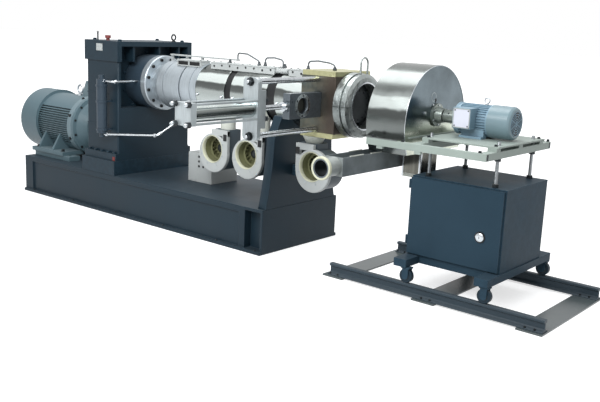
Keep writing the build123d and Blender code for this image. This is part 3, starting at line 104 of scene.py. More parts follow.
class Surface:
    """A material around one principled shader, with short ways to add its nodes."""

    def __init__(self, name, colour, metal, rough, **sockets):
        self.material = bpy.data.materials.new(name)
        self.material.use_nodes = True
        self.tree = self.material.node_tree
        self.shader = self.tree.nodes["Principled BSDF"]
        self.shader.inputs["Base Color"].default_value = (*colour, 1.0)
        self.shader.inputs["Metallic"].default_value = metal
        self.shader.inputs["Roughness"].default_value = rough
        for label, value in sockets.items():
            self.shader.inputs[label.replace("_", " ")].default_value = value
        self.place = self.tree.nodes.new("ShaderNodeTexCoord").outputs["Object"]
        self.normal = self.tree.nodes.new("ShaderNodeNewGeometry").outputs["Normal"]

    def node(self, kind, values=(), **settings):
        """Add a node; values go to its first inputs, as numbers or as links."""
        made = self.tree.nodes.new("ShaderNode" + kind)
        for label, value in settings.items():
            setattr(made, label, value)
        for socket, value in zip(made.inputs, values):
            self.set(socket, value)
        return made

    def set(self, socket, value):
        if isinstance(value, bpy.types.NodeSocket):
            self.tree.links.new(value, socket)
        elif value is not None:
            socket.default_value = value

    def noise(self, scale, detail, stretch=(1, 1, 1)):
        """Soft noise over the object, scaled by axis where it runs as streaks."""
        place = self.node("VectorMath", (self.place, stretch), operation="MULTIPLY").outputs[0]
        return self.node("TexNoise", (place, None, scale, detail, 0.6)).outputs[0]

    def spread(self, value, low, high, out_low=0.0, out_high=1.0):
        """Spread a narrow span of values over a wider one."""
        return self.node("MapRange", (value, low, high, out_low, out_high)).outputs[0]

    def math(self, operation, *values):
        return self.node("Math", values, operation=operation).outputs[0]

    def times(self, first, second):
        return self.math("MULTIPLY", first, second)

    def axis(self, vector, index):
        return self.node("SeparateXYZ", (vector,)).outputs[index]

    def along(self, index, low, high, out_low=0.0, out_high=1.0):
        """How far the place lies from low to high along one axis."""
        return self.spread(self.axis(self.place, index), low, high, out_low, out_high)

    def blend(self, share, first, second):
        mix = self.tree.nodes.new("ShaderNodeMix")
        mix.data_type = "RGBA"
        self.set(mix.inputs["Factor"], share)
        for label, tone in (("A", first), ("B", second)):
            linked = isinstance(tone, bpy.types.NodeSocket)
            self.set(mix.inputs[label], tone if linked else (*tone[:3], 1.0))
        return mix.outputs["Result"]

    def paint(self, colour):
        self.set(self.shader.inputs["Base Color"], colour)

    def rough(self, value):
        self.set(self.shader.inputs["Roughness"], value)

    def worn_edges(self, tone, bare, share):
        """Paint rubbed off in places along sharp outer edges."""
        if not share:
            return self.paint(tone)
        sharp = self.node("NewGeometry").outputs["Pointiness"]
        rubbed = self.spread(self.noise(25.0, 5.0), 0.42, 0.6)
        self.paint(self.blend(self.times(self.spread(sharp, 0.54, 0.62, 0.0, share), rubbed), tone, bare))

    def bump(self, height, strength, distance):
        made = self.node("Bump")
        made.inputs["Strength"].default_value = strength
        made.inputs["Distance"].default_value = distance
        self.set(made.inputs["Height"], height)
        self.set(self.shader.inputs["Normal"], made.outputs[0])
        return self


def shade(colour, factor):
    return tuple(value * factor for value in colour)


def enamel(name, colour, rough, dust, gloss=0.28, worn=0.0):
    """Brushed or sprayed machine enamel: slight orange peel, stains, dust on what faces up."""
    surface = Surface(name, colour, 0.0, rough, Specular_IOR_Level=gloss)
    cloud = surface.noise(2.2, 5.0)
    runs = surface.noise(7.0, 4.0, (1, 1, 0.15))
    tone = surface.blend(surface.spread(cloud, 0.3, 0.7), shade(colour, 0.92), shade(colour, 1.08))
    tone = surface.blend(surface.spread(runs, 0.55, 0.8, 0.0, 0.2), tone, shade(colour, 0.7))
    up = surface.spread(surface.axis(surface.normal, 2), 0.6, 1.0, 0.0, dust)
    settled = surface.times(up, surface.spread(surface.noise(9.0, 6.0), 0.2, 0.8, 0.6, 1.0))
    tone = surface.blend(settled, tone, DUST)
    surface.worn_edges(tone, shade(colour, 2.2), worn)
    surface.rough(surface.math("ADD", surface.spread(cloud, 0.3, 0.7, rough - 0.04, rough + 0.06), settled))
    peel = surface.noise(240.0, 2.0)
    return surface.bump(peel, 0.12, 0.001).material


def two_tone(name, colour, other, index, edge, rough, metal=0.0):
    """Paint that changes from one colour to another past a place along one axis."""
    surface = Surface(name, colour, metal, rough)
    past = surface.along(index, edge - 0.001, edge + 0.001)
    cloud = surface.spread(surface.noise(9.0, 5.0), 0.35, 0.65)
    first = surface.blend(cloud, shade(colour, 0.8), shade(colour, 1.18))
    second = surface.blend(cloud, shade(other, 0.8), shade(other, 1.18))
    surface.paint(surface.blend(past, first, second))
    surface.rough(surface.spread(cloud, 0.0, 1.0, rough - 0.06, rough + 0.12))
    return surface.bump(surface.noise(200.0, 2.0), 0.12, 0.0008).material


def ground_steel(name, colour, rough, stretch=(1, 1, 1), grain=60.0, metal=1.0, stain=0.3):
    """Ground or turned steel: fine tool marks along one direction and oily patches."""
    surface = Surface(name, colour, metal, rough)
    marks = surface.noise(grain, 3.0, stretch)
    patch = surface.noise(5.0, 5.0)
    tone = surface.blend(surface.spread(marks, 0.3, 0.7), shade(colour, 0.84), shade(colour, 1.1))
    tone = surface.blend(surface.spread(patch, 0.45, 0.7, 0.0, stain), tone, shade(colour, 0.55))
    surface.paint(tone)
    surface.rough(surface.spread(patch, 0.3, 0.7, rough - 0.07, rough + 0.12))
    return surface.bump(marks, 0.08, 0.0006).material


def threaded_steel(name, colour, pitch):
    """Screwed rod standing upright: fine rings one pitch apart, with painted shade in the grooves."""
    surface = Surface(name, colour, 1.0, 0.32)
    turns = surface.times(surface.axis(surface.place, 2), 2 * pi / pitch)
    wave = surface.math("SINE", turns)
    # Painted shade: darker where the bump puts the grooves
    surface.paint(surface.blend(surface.spread(wave, -1.0, 1.0), shade(colour, 0.35), colour))
    return surface.bump(wave, 0.6, 0.0015).material


# Heights over which the drum's end plate turns to a painted reflection of the table below it
PLATE_REFLECTION_ABOVE = 1.1
PLATE_REFLECTION_BELOW = 1.02
PLATE_FOOT = (0.8635, 0.8620)


def rolled_sheet(name, rough, across, centre, reflection_bands, plate=None):
    """Polished sheet rolled about an axis, with painted reflections and painted shade in bands round it.

    The reflection bands are (angle in degrees, tone); plate is (place along X, colour) of a flat end, whose
    lower part has a painted reflection.
    """
    surface = Surface(name, SHEET, 1.0, rough)
    level = surface.math("SUBTRACT", surface.axis(surface.place, across), centre[0])
    height = surface.math("SUBTRACT", surface.axis(surface.place, 2), centre[1])
    angle = surface.math("ARCTAN2", height, level)
    wobble = surface.spread(surface.noise(4.0, 3.0), 0.3, 0.7, -0.05, 0.05)
    turn = surface.spread(surface.math("ADD", angle, wobble), -pi, pi)
    # Painted reflections and painted shade, in bands by the angle round the axis
    ramp = surface.node("ValToRGB", (turn,))
    ramp.color_ramp.interpolation = "EASE"
    stops = ramp.color_ramp.elements
    while len(stops) < len(reflection_bands):
        stops.new(0.5)
    for stop, (degrees_round, tone) in zip(stops, reflection_bands):
        stop.position = (degrees_round + 180) / 360
        stop.color = (*shade(SHEET, tone), 1.0)
    tone = ramp.outputs[0]
    if plate:
        edge, colour = plate
        flat = surface.along(0, edge - 0.0004, edge)
        cloud = surface.spread(surface.noise(3.5, 4.0), 0.35, 0.65)
        # Painted reflection of the table on the lower part of the end plate
        low = surface.along(2, PLATE_REFLECTION_ABOVE, PLATE_REFLECTION_BELOW)
        face = surface.blend(cloud, shade(colour, 0.6), shade(colour, 1.0))
        tone = surface.blend(flat, tone, surface.blend(low, face, PLATE_PAINTED_REFLECTION))
        under = surface.along(2, *PLATE_FOOT)
        stripe = surface.spread(surface.noise(26.0, 3.0, (1, 1, 0.02)), 0.35, 0.65)
        tone = surface.blend(under, tone, surface.blend(stripe, shade(CHUTE, 0.6), shade(CHUTE, 1.3)))
    scratches = surface.noise(130.0, 3.0, (0.08, 1, 1))
    surface.paint(surface.blend(surface.spread(scratches, 0.55, 0.8, 0.0, 0.2), tone, shade(SHEET, 0.3)))
    surface.rough(surface.spread(surface.noise(8.0, 4.0), 0.3, 0.7, rough - 0.04, rough + 0.08))
    dents = surface.noise(5.0, 2.0)
    return surface.bump(dents, 0.08, 0.01).material


# Heights over which the foil turns to painted shade
FOIL_PAINTED_SHADE = (1.16, 1.0)


def crinkled_foil(name, colour):
    """Foil pressed over insulation: soft dents with small bright creases, and painted shade towards the
    bottom.
    """
    surface = Surface(name, colour, 0.85, 0.3)
    dents = surface.noise(16.0, 2.0)
    fine = surface.noise(45.0, 3.0)
    height = surface.math("ADD", dents, surface.times(fine, 0.45))
    cloud = surface.spread(surface.noise(9.0, 4.0), 0.3, 0.7)
    tone = surface.blend(cloud, shade(colour, 0.8), shade(colour, 1.15))
    # Painted shade: the foil darkens towards the bottom
    low = surface.along(2, *FOIL_PAINTED_SHADE)
    shaded = surface.blend(cloud, shade(colour, 0.4), shade(colour, 0.62))
    surface.paint(surface.blend(low, tone, shaded))
    surface.rough(surface.spread(fine, 0.3, 0.7, 0.26, 0.42))
    return surface.bump(height, 0.6, 0.012).material


BROWN_SPAN = (1.74, 1.87)


def heat_tinted(name, colour):
    """A hot steel block: brown, blue and straw tints in soft patches over ground marks."""
    surface = Surface(name, colour, 0.85, 0.42)
    broad = surface.noise(6.0, 4.0)
    fine = surface.noise(22.0, 5.0)
    tone = surface.blend(surface.spread(broad, 0.35, 0.6), BLOCK_BLUE, BLOCK_STRAW)
    tone = surface.blend(surface.spread(fine, 0.5, 0.75, 0.0, 0.5), tone, BLOCK_DARK)
    brown = surface.along(0, *BROWN_SPAN, 0.0, 0.85)
    tone = surface.blend(brown, tone, BLOCK_BROWN)
    surface.paint(tone)
    surface.rough(surface.spread(fine, 0.3, 0.7, 0.35, 0.55))
    return surface.bump(fine, 0.15, 0.002).material


BARREL_HEIGHT = 1.1
DRUM_HEIGHT = 1.046
DRUM_END = 2.5889
SCREEN_X = 1.765
BREATHER_SPLIT = -0.46
TROUGH_SPLIT = -0.73
THREAD_PITCH = 0.006
# Painted reflections and painted shade round the rolled sheets, as (angle in degrees, tone)
COVER_REFLECTION_BANDS = (
    (-180, 0.6), (-150, 0.7), (-110, 0.45), (-60, 0.3), (0, 0.4), (50, 0.8), (85, 0.3), (134, 0.27),
    (140, 1.6), (157, 1.5), (161, 0.2), (172, 0.24), (178, 0.55), (180, 0.6),
)
DRUM_REFLECTION_BANDS = (
    (-180, 0.26), (-150, 0.3), (-120, 0.22), (-90, 0.18), (-30, 0.2), (0, 0.32), (30, 0.7), (55, 0.34),
    (90, 0.34), (143, 0.3), (150, 0.6), (153, 1.15), (163, 1.1), (167, 0.16), (174, 0.15), (178, 0.24),
    (180, 0.26),
)
CYLINDER_REFLECTION_BANDS = (
    (-180, 0.35), (-110, 0.3), (-70, 0.5), (-40, 0.85), (-20, 0.35), (0, 0.22), (18, 0.4), (35, 1.05),
    (65, 1.1), (80, 0.5), (120, 0.45), (180, 0.35),
)

# Look of each surface
LOOKS = {
    "navy": enamel("navy_enamel", NAVY, 0.42, 0.07, 0.18, 0.4),
    "boss": enamel("boss_enamel", BOSS_NAVY, 0.38, 0.1),
    "motor": enamel("motor_enamel", MOTOR_GREEN, 0.42, 0.2),
    "flange": enamel("flange_enamel", FLANGE_GREEN, 0.42, 0.1),
    "light": enamel("light_enamel", LIGHT_GREY, 0.42, 0.1),
    "cabinet": enamel("cabinet_enamel", CABINET_BLUE, 0.45, 0.05, 0.06, 0.3),
    "sleeper": enamel("sleeper_enamel", SLEEPER, 0.24, 0.1, 0.6),
    "feed": ground_steel("feed_steel", FEED, 0.34, (1, 0.05, 0.05), 140.0, 0.6, 0.2),
    "table": enamel("table_enamel", TABLE_GREEN, 0.42, 0.1),
    "motor_blue": enamel("cutter_motor_enamel", MOTOR_BLUE, 0.36, 0.12),
    "pale_blue": enamel("bare_label_plate", PALE_BLUE, 0.4, 0.05),
    "rail": enamel("rail_enamel", RAIL_GREY, 0.5, 0.12),
    "scroll": enamel("scroll_enamel", SCROLL, 0.4, 0.15),
    "duct": enamel("duct_enamel", DUCT, 0.5, 0.1),
    "cream": enamel("cream_lining", CREAM, 0.45, 0.05),
    "olive": enamel("olive_lining", OLIVE, 0.5, 0.05),
    "red": enamel("dull_red", DULL_RED, 0.5, 0.1),
    "breather": two_tone("breather_metal", DARK_METAL, DULL_RED, 0, BREATHER_SPLIT, 0.45),
    "trough": two_tone("trough_sheet", OUTLET, TROUGH, 1, TROUGH_SPLIT, 0.4, 0.25),
    "satin": ground_steel("satin_steel", SATIN, 0.36, (1, 0.05, 0.05), 140.0, 0.65, 0.2),
    "bright": ground_steel("bright_steel", BRIGHT, 0.2, (0.1, 1, 0.1), stain=0.15),
    "thread": threaded_steel("threaded_steel", BRIGHT, THREAD_PITCH),
    "dark": ground_steel("dark_steel", DARK_METAL, 0.42, metal=0.7),
    "black": ground_steel("black_steel", BLACK, 0.45, grain=50.0, metal=0.4),
    # The rolled sheets have painted reflections and painted shade in bands round them
    "cover": rolled_sheet("cover_sheet_painted_reflections", 0.16, 1, (0.0, BARREL_HEIGHT), COVER_REFLECTION_BANDS),
    "drum": rolled_sheet("drum_sheet_painted_reflections", 0.2, 1, (0.0, DRUM_HEIGHT), DRUM_REFLECTION_BANDS, (DRUM_END, DRUM_PLATE)),
    "cylinder": rolled_sheet("cylinder_sheet_painted_reflections", 0.16, 0, (SCREEN_X, BARREL_HEIGHT), CYLINDER_REFLECTION_BANDS),
    "foil": crinkled_foil("foil", FOIL),
    "bronze": heat_tinted("tinted_block", BRONZE),
    "slate": ground_steel("slate_steel", SLATE, 0.34, metal=0.6, stain=0.2),
    "conduit": ground_steel("conduit_steel", CONDUIT, 0.4, metal=0.6, stain=0.2),
    "shaded": ground_steel("shaded_steel", SHADED_STEEL, 0.32, metal=0.8),
    "cowl": enamel("cutter_cowl_enamel", COWL, 0.3, 0.1, 0.4),
    "chute": ground_steel("chute_steel", CHUTE, 0.38, (1, 1, 0.1), 50.0, stain=0.4),
    "golden": ground_steel("golden_plate", GOLDEN, 0.35, grain=30.0, metal=0.7),
}

# Solids of each surface
SURFACES = {
    "navy": (
        "base_frame gearbox_plinth front_pedestal gearbox_housing gearbox_cover coupling_guard "
        "blower_stands wheel_near_front wheel_near_rear wheel_far_front wheel_far_rear"
    ),
    "boss": "gearbox_bearing_boss oil_filter",
    "motor": "motor_slide_rails motor_stator motor_fan_cowl motor_end_bell motor_terminal_box",
    "breather": "gearbox_breathers",
    "bright": "oil_pipes screen_tie_bars screen_rod",
    "feed": "feed_section",
    "black": "barrel_tube",
    "cover": "barrel_covers",
    "light": "barrel_terminal_boxes barrel_top_bar blower_inlet_rings terminal_cabinet",
    "conduit": "barrel_conduits",
    "scroll": "blower_housings",
    "duct": "blower_ducts",
    "bronze": "screen_block",
    "golden": "screen_clamp_bars",
    "satin": "cylinder_mount_plate cylinder_rear_cap cutter_knives",
    "cylinder": "cylinder_tube",
    "foil": "die_ring lifting_loop",
    "dark": "die_plate column_nuts",
    "rail": "rail_near rail_far",
    "sleeper": "rail_sleepers",
    "cabinet": "cabinet_shell trolley_underframe caster_forks cabinet_door",
    "thread": "height_columns",
    "table": "table_side_tubes table_cross_tubes motor_plate",
    "drum": "hood_drum",
    "shaded": "cutter_bearing cutter_shaft",
    "motor_blue": "cutter_motor",
    "cowl": "cutter_motor_cowl",
    "trough": "outlet_trough",
    "slate": "screen_slide",
}

# Solids by the width of their rounded edges
ROUNDED = {
    0.001: "barrel_top_bar rail_sleepers motor_plate",
    0.002: "cylinder_rear_cap trolley_underframe table_side_tubes table_cross_tubes screen_slide",
    0.003: (
        "motor_slide_rails barrel_terminal_boxes terminal_cabinet screen_block screen_clamp_bars "
        "cylinder_mount_plate cabinet_shell cabinet_door"
    ),
    0.004: "base_frame gearbox_plinth front_pedestal",
    0.006: "gearbox_housing motor_terminal_box",
    0.008: "gearbox_cover",
}

for surface_name, names in SURFACES.items():
    for name in names.split():
        materials = nodes[name].data.materials
        materials.clear()
        materials.append(LOOKS[surface_name])


FLOOR_SIZE = 60.0
FLOOR_GAP = 0.001
FLOOR_COLOUR = (0.6, 0.61, 0.62)
FLOOR_GLOW = (0.62, 1.05)
GLOW_REACH = (3.0, 9.0)


def camera_or_mirror(tree):
    """One where the camera or a mirror looks, nought where light falls."""
    path = tree.nodes.new("ShaderNodeLightPath")
    share = path.outputs["Is Camera Ray"]
    for label in ("Is Glossy Ray", "Is Transmission Ray"):
        more = tree.nodes.new("ShaderNodeMath")
        more.operation = "MAXIMUM"
        tree.links.new(share, more.inputs[0])
        tree.links.new(path.outputs[label], more.inputs[1])
        share = more.outputs[0]
    return share


def stage():
    """A wide white floor that keeps the machine's shadow."""
    reach = FLOOR_SIZE
    corners = [(-reach, -reach, 0), (reach, -reach, 0), (reach, reach, 0), (-reach, reach, 0)]
    mesh = bpy.data.meshes.new("floor")
    mesh.from_pydata(corners, [], [(0, 1, 2, 3)])
    floor = bpy.data.objects.new("floor", mesh)
    bpy.context.scene.collection.objects.link(floor)
    floor.location.z = -FLOOR_GAP
    surface = Surface("pale_floor", FLOOR_COLOUR, 0.0, 0.9, Emission_Color=(1, 1, 1, 1))
    away = surface.node("VectorMath", (surface.place,), operation="LENGTH").outputs["Value"]
    glow = surface.spread(away, *GLOW_REACH, *FLOOR_GLOW)
    glow = surface.times(glow, camera_or_mirror(surface.tree))
    surface.set(surface.shader.inputs["Emission Strength"], glow)
    mesh.materials.append(surface.material)


WORLD_LIGHT = 0.5


def white_world():
    """White to the camera and in mirrors, a plain grey level as light."""
    world = bpy.data.worlds.new("studio")
    bpy.context.scene.world = world
    world.use_nodes = True
    tree = world.node_tree
    background = tree.nodes["Background"]
    background.inputs["Color"].default_value = (1, 1, 1, 1)
    strength = tree.nodes.new("ShaderNodeMapRange")
    strength.inputs["To Min"].default_value = WORLD_LIGHT
    tree.links.new(camera_or_mirror(tree), strength.inputs["Value"])
    tree.links.new(strength.outputs[0], background.inputs["Strength"])


def lamp(name, place, target, size, power):
    data = bpy.data.lights.new(name, "AREA")
    data.shape = "RECTANGLE"
    data.size, data.size_y = size
    data.energy = power
    made = bpy.data.objects.new(name, data)
    made.location = place
    made.rotation_euler = (Vector(target) - Vector(place)).to_track_quat("-Z", "Y").to_euler()
    made.visible_camera = False
    bpy.context.scene.collection.objects.link(made)


# Name, place, target, size and power of each lamp
LAMPS = (
    ("key", (3.0, -6.2, 5.0), (0.8, 0, 0.8), (5.0, 3.0), 330),
    ("top", (0.5, 0.5, 5.5), (0.5, 0, 0), (6.0, 3.0), 260),
    ("fill", (8.0, -1.0, 4.0), (1.5, 0, 0.8), (4.0, 3.0), 5),
    ("aisle", (1.95, -2.5, 3.0), (-0.5, 0, 0.9), (1.6, 1.2), 66),
)


def studio_lamps():
    for row in LAMPS:
        lamp(*row)


CAMERA_PLACE = Vector((5.2847, -4.6503, 1.6365))
CAMERA_TURN = radians(39.2561)
CAMERA_DROP = radians(12.1836)
CAMERA_ROLL = radians(-2.5152)
CAMERA_LENS = 49.198
CAMERA_SENSOR = 36.0


def camera():
    """The view from beside the trolley, back along the machine."""
    flat = cos(CAMERA_DROP)
    forward = Vector((-sin(CAMERA_TURN) * flat, cos(CAMERA_TURN) * flat, -sin(CAMERA_DROP)))
    level = Vector((cos(CAMERA_TURN), sin(CAMERA_TURN), 0))
    down = forward.cross(level)
    right = level * cos(CAMERA_ROLL) + down * sin(CAMERA_ROLL)
    below = down * cos(CAMERA_ROLL) - level * sin(CAMERA_ROLL)
    data = bpy.data.cameras.new("camera")
    data.lens = CAMERA_LENS
    data.sensor_width = CAMERA_SENSOR
    made = bpy.data.objects.new("camera", data)
    turned = Matrix((right, -below, -forward)).transposed().to_4x4()
    made.matrix_world = Matrix.Translation(CAMERA_PLACE) @ turned
    bpy.context.scene.collection.objects.link(made)
    bpy.context.scene.camera = made


SMOOTH_UNDER = radians(35)
HEXAGON = 6
TUBE_SIDES = 12
SEAT = 0.0005
HEAD_HEIGHT = 0.55
WASHER_SHARE = 0.18
WASHER_REACH = 0.64
CROWN_START = 0.88
CROWN_REACH = 0.86
SPOKE_THINNER = 0.0002


class Fitting:
    """One fitted piece, put together from turned, bent and flat forms in the machine's frame."""

    def __init__(self, name, surface, body="machine"):
        self.name, self.surface, self.body = name, surface, body
        self.mesh = bmesh.new()

    def rings(self, rings, closed=False):
        """Skin between rings of points; closed joins the last ring to the first, else both are capped."""
        made = [[self.mesh.verts.new(point) for point in ring] for ring in rings]
        count = len(made[0])
        pairs = list(zip(made, made[1:]))
        if closed:
            pairs.append((made[-1], made[0]))
        for first, second in pairs:
            for index in range(count):
                after = (index + 1) % count
                self.mesh.faces.new((first[index], first[after], second[after], second[index]))
        if not closed:
            self.mesh.faces.new(reversed(made[0]))
            self.mesh.faces.new(made[-1])
        return self

    def box(self, low, high):
        (x0, y0, z0), (x1, y1, z1) = low, high
        outline = ((x0, y0), (x1, y0), (x1, y1), (x0, y1))
        return self.rings([[(x, y, z) for x, y in outline] for z in (z0, z1)])

    def turned(self, place, axis, outline, sides, closed=False):
        """A form turned about an axis through place; the outline gives (distance along, radius)."""
        forward = Vector(axis).normalized()
        side = forward.cross(Z if abs(forward.z) < 0.9 else X).normalized()
        up = forward.cross(side)
        angles = [2 * pi * index / sides for index in range(sides)]
        rings = []
        for along, radius in outline:
            centre = Vector(place) + forward * along
            rings.append([centre + (side * cos(angle) + up * sin(angle)) * radius for angle in angles])
        return self.rings(rings, closed)

    def disc(self, place, axis, radius, thick, sides):
        chamfer = min(thick, radius) * 0.2
        outline = ((0, radius), (thick - chamfer, radius), (thick, radius - chamfer))
        return self.turned(place, axis, outline, sides)

    def ring(self, place, axis, inner, outer, thick, sides):
        outline = ((0, inner), (0, outer), (thick, outer), (thick, inner))
        return self.turned(place, axis, outline, sides, closed=True)

    def bolt(self, place, axis, across, height=None):
        """Washer, hexagon head and a domed crown."""
        height = height or across * HEAD_HEIGHT
        washer = height * WASHER_SHARE
        reach = across * WASHER_REACH
        self.turned(place, axis, ((-SEAT, reach), (washer, reach)), 20)
        head = across / sqrt(3)
        crown = ((washer, head), (height * CROWN_START, head), (height, head * CROWN_REACH))
        return self.turned(place, axis, crown, HEXAGON)

    def socket_screw(self, place, axis, radius, height):
        """Round head with a hollow in its middle."""
        hollow = radius * 0.55
        head = ((-SEAT, radius), (height * 0.85, radius), (height, radius * 0.9))
        outline = (*head, (height, hollow), (height * 0.4, hollow))
        return self.turned(place, axis, outline, 16)

    def tube(self, points, radius, closed=False):
        """A round bar along a line of points."""
        points = [Vector(point) for point in points]
        count = len(points)
        across = None
        rings = []
        for index, point in enumerate(points):
            before = points[index - 1] if closed or index else point
            after = points[(index + 1) % count] if closed or index + 1 < count else point
            forward = (after - before).normalized()
            if across is None:
                across = forward.orthogonal().normalized()
            across = (across - forward * across.dot(forward)).normalized()
            up = forward.cross(across)
            turns = [2 * pi * step / TUBE_SIDES for step in range(TUBE_SIDES)]
            rings.append([point + (across * cos(turn) + up * sin(turn)) * radius for turn in turns])
        return self.rings(rings, closed)

    def loop(self, centre, axis, reach, wire, start=0.0, end=360.0, steps=36):
        """A bent bar round a centre, whole or from one angle to another, in degrees."""
        forward = Vector(axis).normalized()
        side = forward.cross(Z if abs(forward.z) < 0.9 else X).normalized()
        up = side.cross(forward)
        whole = end - start >= 360
        parts = steps if whole else steps - 1
        angles = [radians(start + (end - start) * index / parts) for index in range(steps)]
        points = [Vector(centre) + (side * cos(angle) + up * sin(angle)) * reach for angle in angles]
        return self.tube(points, wire, closed=whole)

    def guard(self, centre, reaches, wire, steps, spokes, first=0.0):
        """A fan's guard across X: hoops and spokes, the first spoke turned by a share of a step."""
        for reach in reaches:
            self.loop(centre, X, reach, wire, steps=steps)
        middle = Vector(centre)
        for index in range(spokes):
            turn = pi * (index + first) / spokes
            end = Vector((0, cos(turn), sin(turn))) * reaches[-1]
            self.tube((middle - end, middle + end), wire - SPOKE_THINNER)
        return self

    def eye_bolt(self, foot, reach, wire, axis=X):
        """Collar, neck and ring, standing on its foot."""
        foot = Vector(foot)
        collar, neck = wire * 2.6, wire * 2.2
        outline = ((0, collar), (wire * 1.2, collar), (wire * 1.6, wire * 1.5), (neck, wire * 1.2))
        self.turned(foot - Z * 0.001, Z, outline, 24)
        return self.loop(foot + Z * (neck + reach), axis, reach, wire)

    def done(self, rounded=0.0):
        bmesh.ops.recalc_face_normals(self.mesh, faces=self.mesh.faces)
        mesh = bpy.data.meshes.new(self.name)
        self.mesh.to_mesh(mesh)
        self.mesh.free()
        mesh.shade_smooth()
        mesh.set_sharp_from_angle(angle=SMOOTH_UNDER)
        mesh.materials.append(LOOKS[self.surface])
        made = bpy.data.objects.new(self.name, mesh)
        bpy.context.scene.collection.objects.link(made)
        if rounded:
            round_edges(made, rounded)
        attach(made, self.body)


def round_edges(made, width, weld=False):
    if weld:
        joined = made.modifiers.new("weld", "WELD")
        joined.merge_threshold = 0.00002
    bevel = made.modifiers.new("rounded", "BEVEL")
    bevel.width = width
    bevel.segments = 2
    bevel.limit_method = "ANGLE"
    bevel.angle_limit = SMOOTH_UNDER
    bevel.harden_normals = True


for width, names in ROUNDED.items():
    for name in names.split():
        round_edges(nodes[name], width, weld=True)


def on_trolley(name, surface):
    return Fitting(name, surface, "trolley")


SCREW_AXIS = (0.0, BARREL_HEIGHT)


def around(count, reach, start, centre=SCREW_AXIS):
    """Places evenly round an axis along X, as (y, z); start is in degrees."""
    angles = [radians(start + 360 * index / count) for index in range(count)]
    return [(centre[0] + reach * cos(angle), centre[1] + reach * sin(angle)) for angle in angles]


def span(side, inner, outer):
    """From inner to outer on one side of the middle, the lower end first."""
    return sorted((side * inner, side * outer))


MOTOR_HEIGHT = 0.631
MOTOR_AXIS = (0.0, MOTOR_HEIGHT)
MOTOR_TOP = 0.893
MOTOR_REAR = -1.8485
MOTOR_BOX_FACE = 0.379
MOTOR_GUARD = (0.035, 0.07, 0.105, 0.14, 0.17, 0.2)
MOTOR_EAR = ((-1.205, 0.88), (-1.085, 0.88), (-1.115, 1.035), (-1.132, 1.035))
FLANGE_START = -1.078
FLANGE_RADIUS = 0.2695
FLANGE_OUTLINE = ((0, 0.262), (0.006, FLANGE_RADIUS), (0.056, FLANGE_RADIUS), (0.062, 0.262))
END_BELL_BOLTS = -0.975
END_BELL_CIRCLE = 0.2525
END_BELL_SLOPE = 0.63
SLIDE_RAIL_TOP = 0.406


def main_motor():
    Fitting("motor_lifting_eye", "bright").eye_bolt((-1.235, 0, MOTOR_TOP), 0.036, 0.0105, Y).done()
    flange = Fitting("motor_drive_flange", "flange")
    flange.turned((FLANGE_START, 0, MOTOR_HEIGHT), X, FLANGE_OUTLINE, 96).done()
    ear = Fitting("motor_cast_ear", "flange")
    ear.rings([[(x, y, z) for x, z in MOTOR_EAR] for y in (-0.012, 0.012)]).done(0.003)
    bolts = Fitting("motor_bolts", "dark")
    for y, z in around(8, FLANGE_RADIUS, 22.5, MOTOR_AXIS):
        bolts.bolt((-1.047, y, z), (0, y, z - MOTOR_HEIGHT), 0.022)
    for x, y in product((-1.455, -1.075), (-0.312, 0.312)):
        bolts.bolt((x, y, SLIDE_RAIL_TOP), Z, 0.030, 0.020)
    for y, z in around(12, END_BELL_CIRCLE, 15, MOTOR_AXIS):
        bolts.bolt((END_BELL_BOLTS, y, z), (END_BELL_SLOPE, y, z - MOTOR_HEIGHT), 0.017)
    bolts.done()
    # The black disc behind the grille is painted shade inside the cowl
    vent_shade = Fitting("motor_cowl_vent_shade", "black")
    vent_shade.disc((MOTOR_REAR - 0.001, 0, MOTOR_HEIGHT), -X, MOTOR_GUARD[-1], 0.0008, 64).done()
    grille = Fitting("motor_cowl_grille", "motor")
    grille.guard((MOTOR_REAR, 0, MOTOR_HEIGHT), MOTOR_GUARD, 0.003, steps=64, spokes=6).done()
    cover = Fitting("motor_box_cover", "motor")
    cover.box((-1.405, 0.372, 0.646), (-1.135, MOTOR_BOX_FACE, 0.826)).done(0.003)
    screws = Fitting("motor_box_screws", "dark")
    for x, z in product((-1.388, -1.152), (0.662, 0.810)):
        screws.socket_screw((x, MOTOR_BOX_FACE, z), Y, 0.008, 0.005)
    screws.done()
    seam = Fitting("motor_cowl_band", "motor")
    seam.ring((-1.548, 0, MOTOR_HEIGHT), X, 0.284, 0.2885, 0.013, 96).done()


GEARBOX_TOP = 1.434
GEARBOX_SIDE = 0.390
SEAM_SIDE = 0.3945
SEAM_HEIGHT = 0.009
PLINTH_TOP = 0.51
PLINTH_BOLT_LINE = 0.405
RECESS_FACE = -0.293
RECESS_CIRCLE = 0.245
RECESS_BOTTOM = 0.87
FEED_FLANGE_FACE = -0.031
FEED_FLANGE_CIRCLE = 0.197
# Place, direction and outline of each union
UNIONS = (
    (
        (0.112, -0.256, 0.691), (0.87, 0.49, 0.03),
        ((0, 0.011), (0.004, 0.016), (0.022, 0.016), (0.026, 0.011)),
    ),
    ((0.145, -0.230, 0.7), (0.38, 0.74, 0.56), ((0, 0.015), (0.022, 0.015), (0.03, 0.010))),
    ((-0.270, -0.474, 1.113), X, ((0, 0.016), (0.032, 0.016), (0.036, 0.011))),
    ((-0.142, -0.458, 1.113), (0.2, 1, 0), ((0, 0.012), (0.004, 0.015), (0.02, 0.015))),
    (
        (-0.258, -0.459, 0.673), (0.9, 0.5, 0.0),
        ((0, 0.011), (0.004, 0.015), (0.024, 0.015), (0.028, 0.011)),
    ),
)


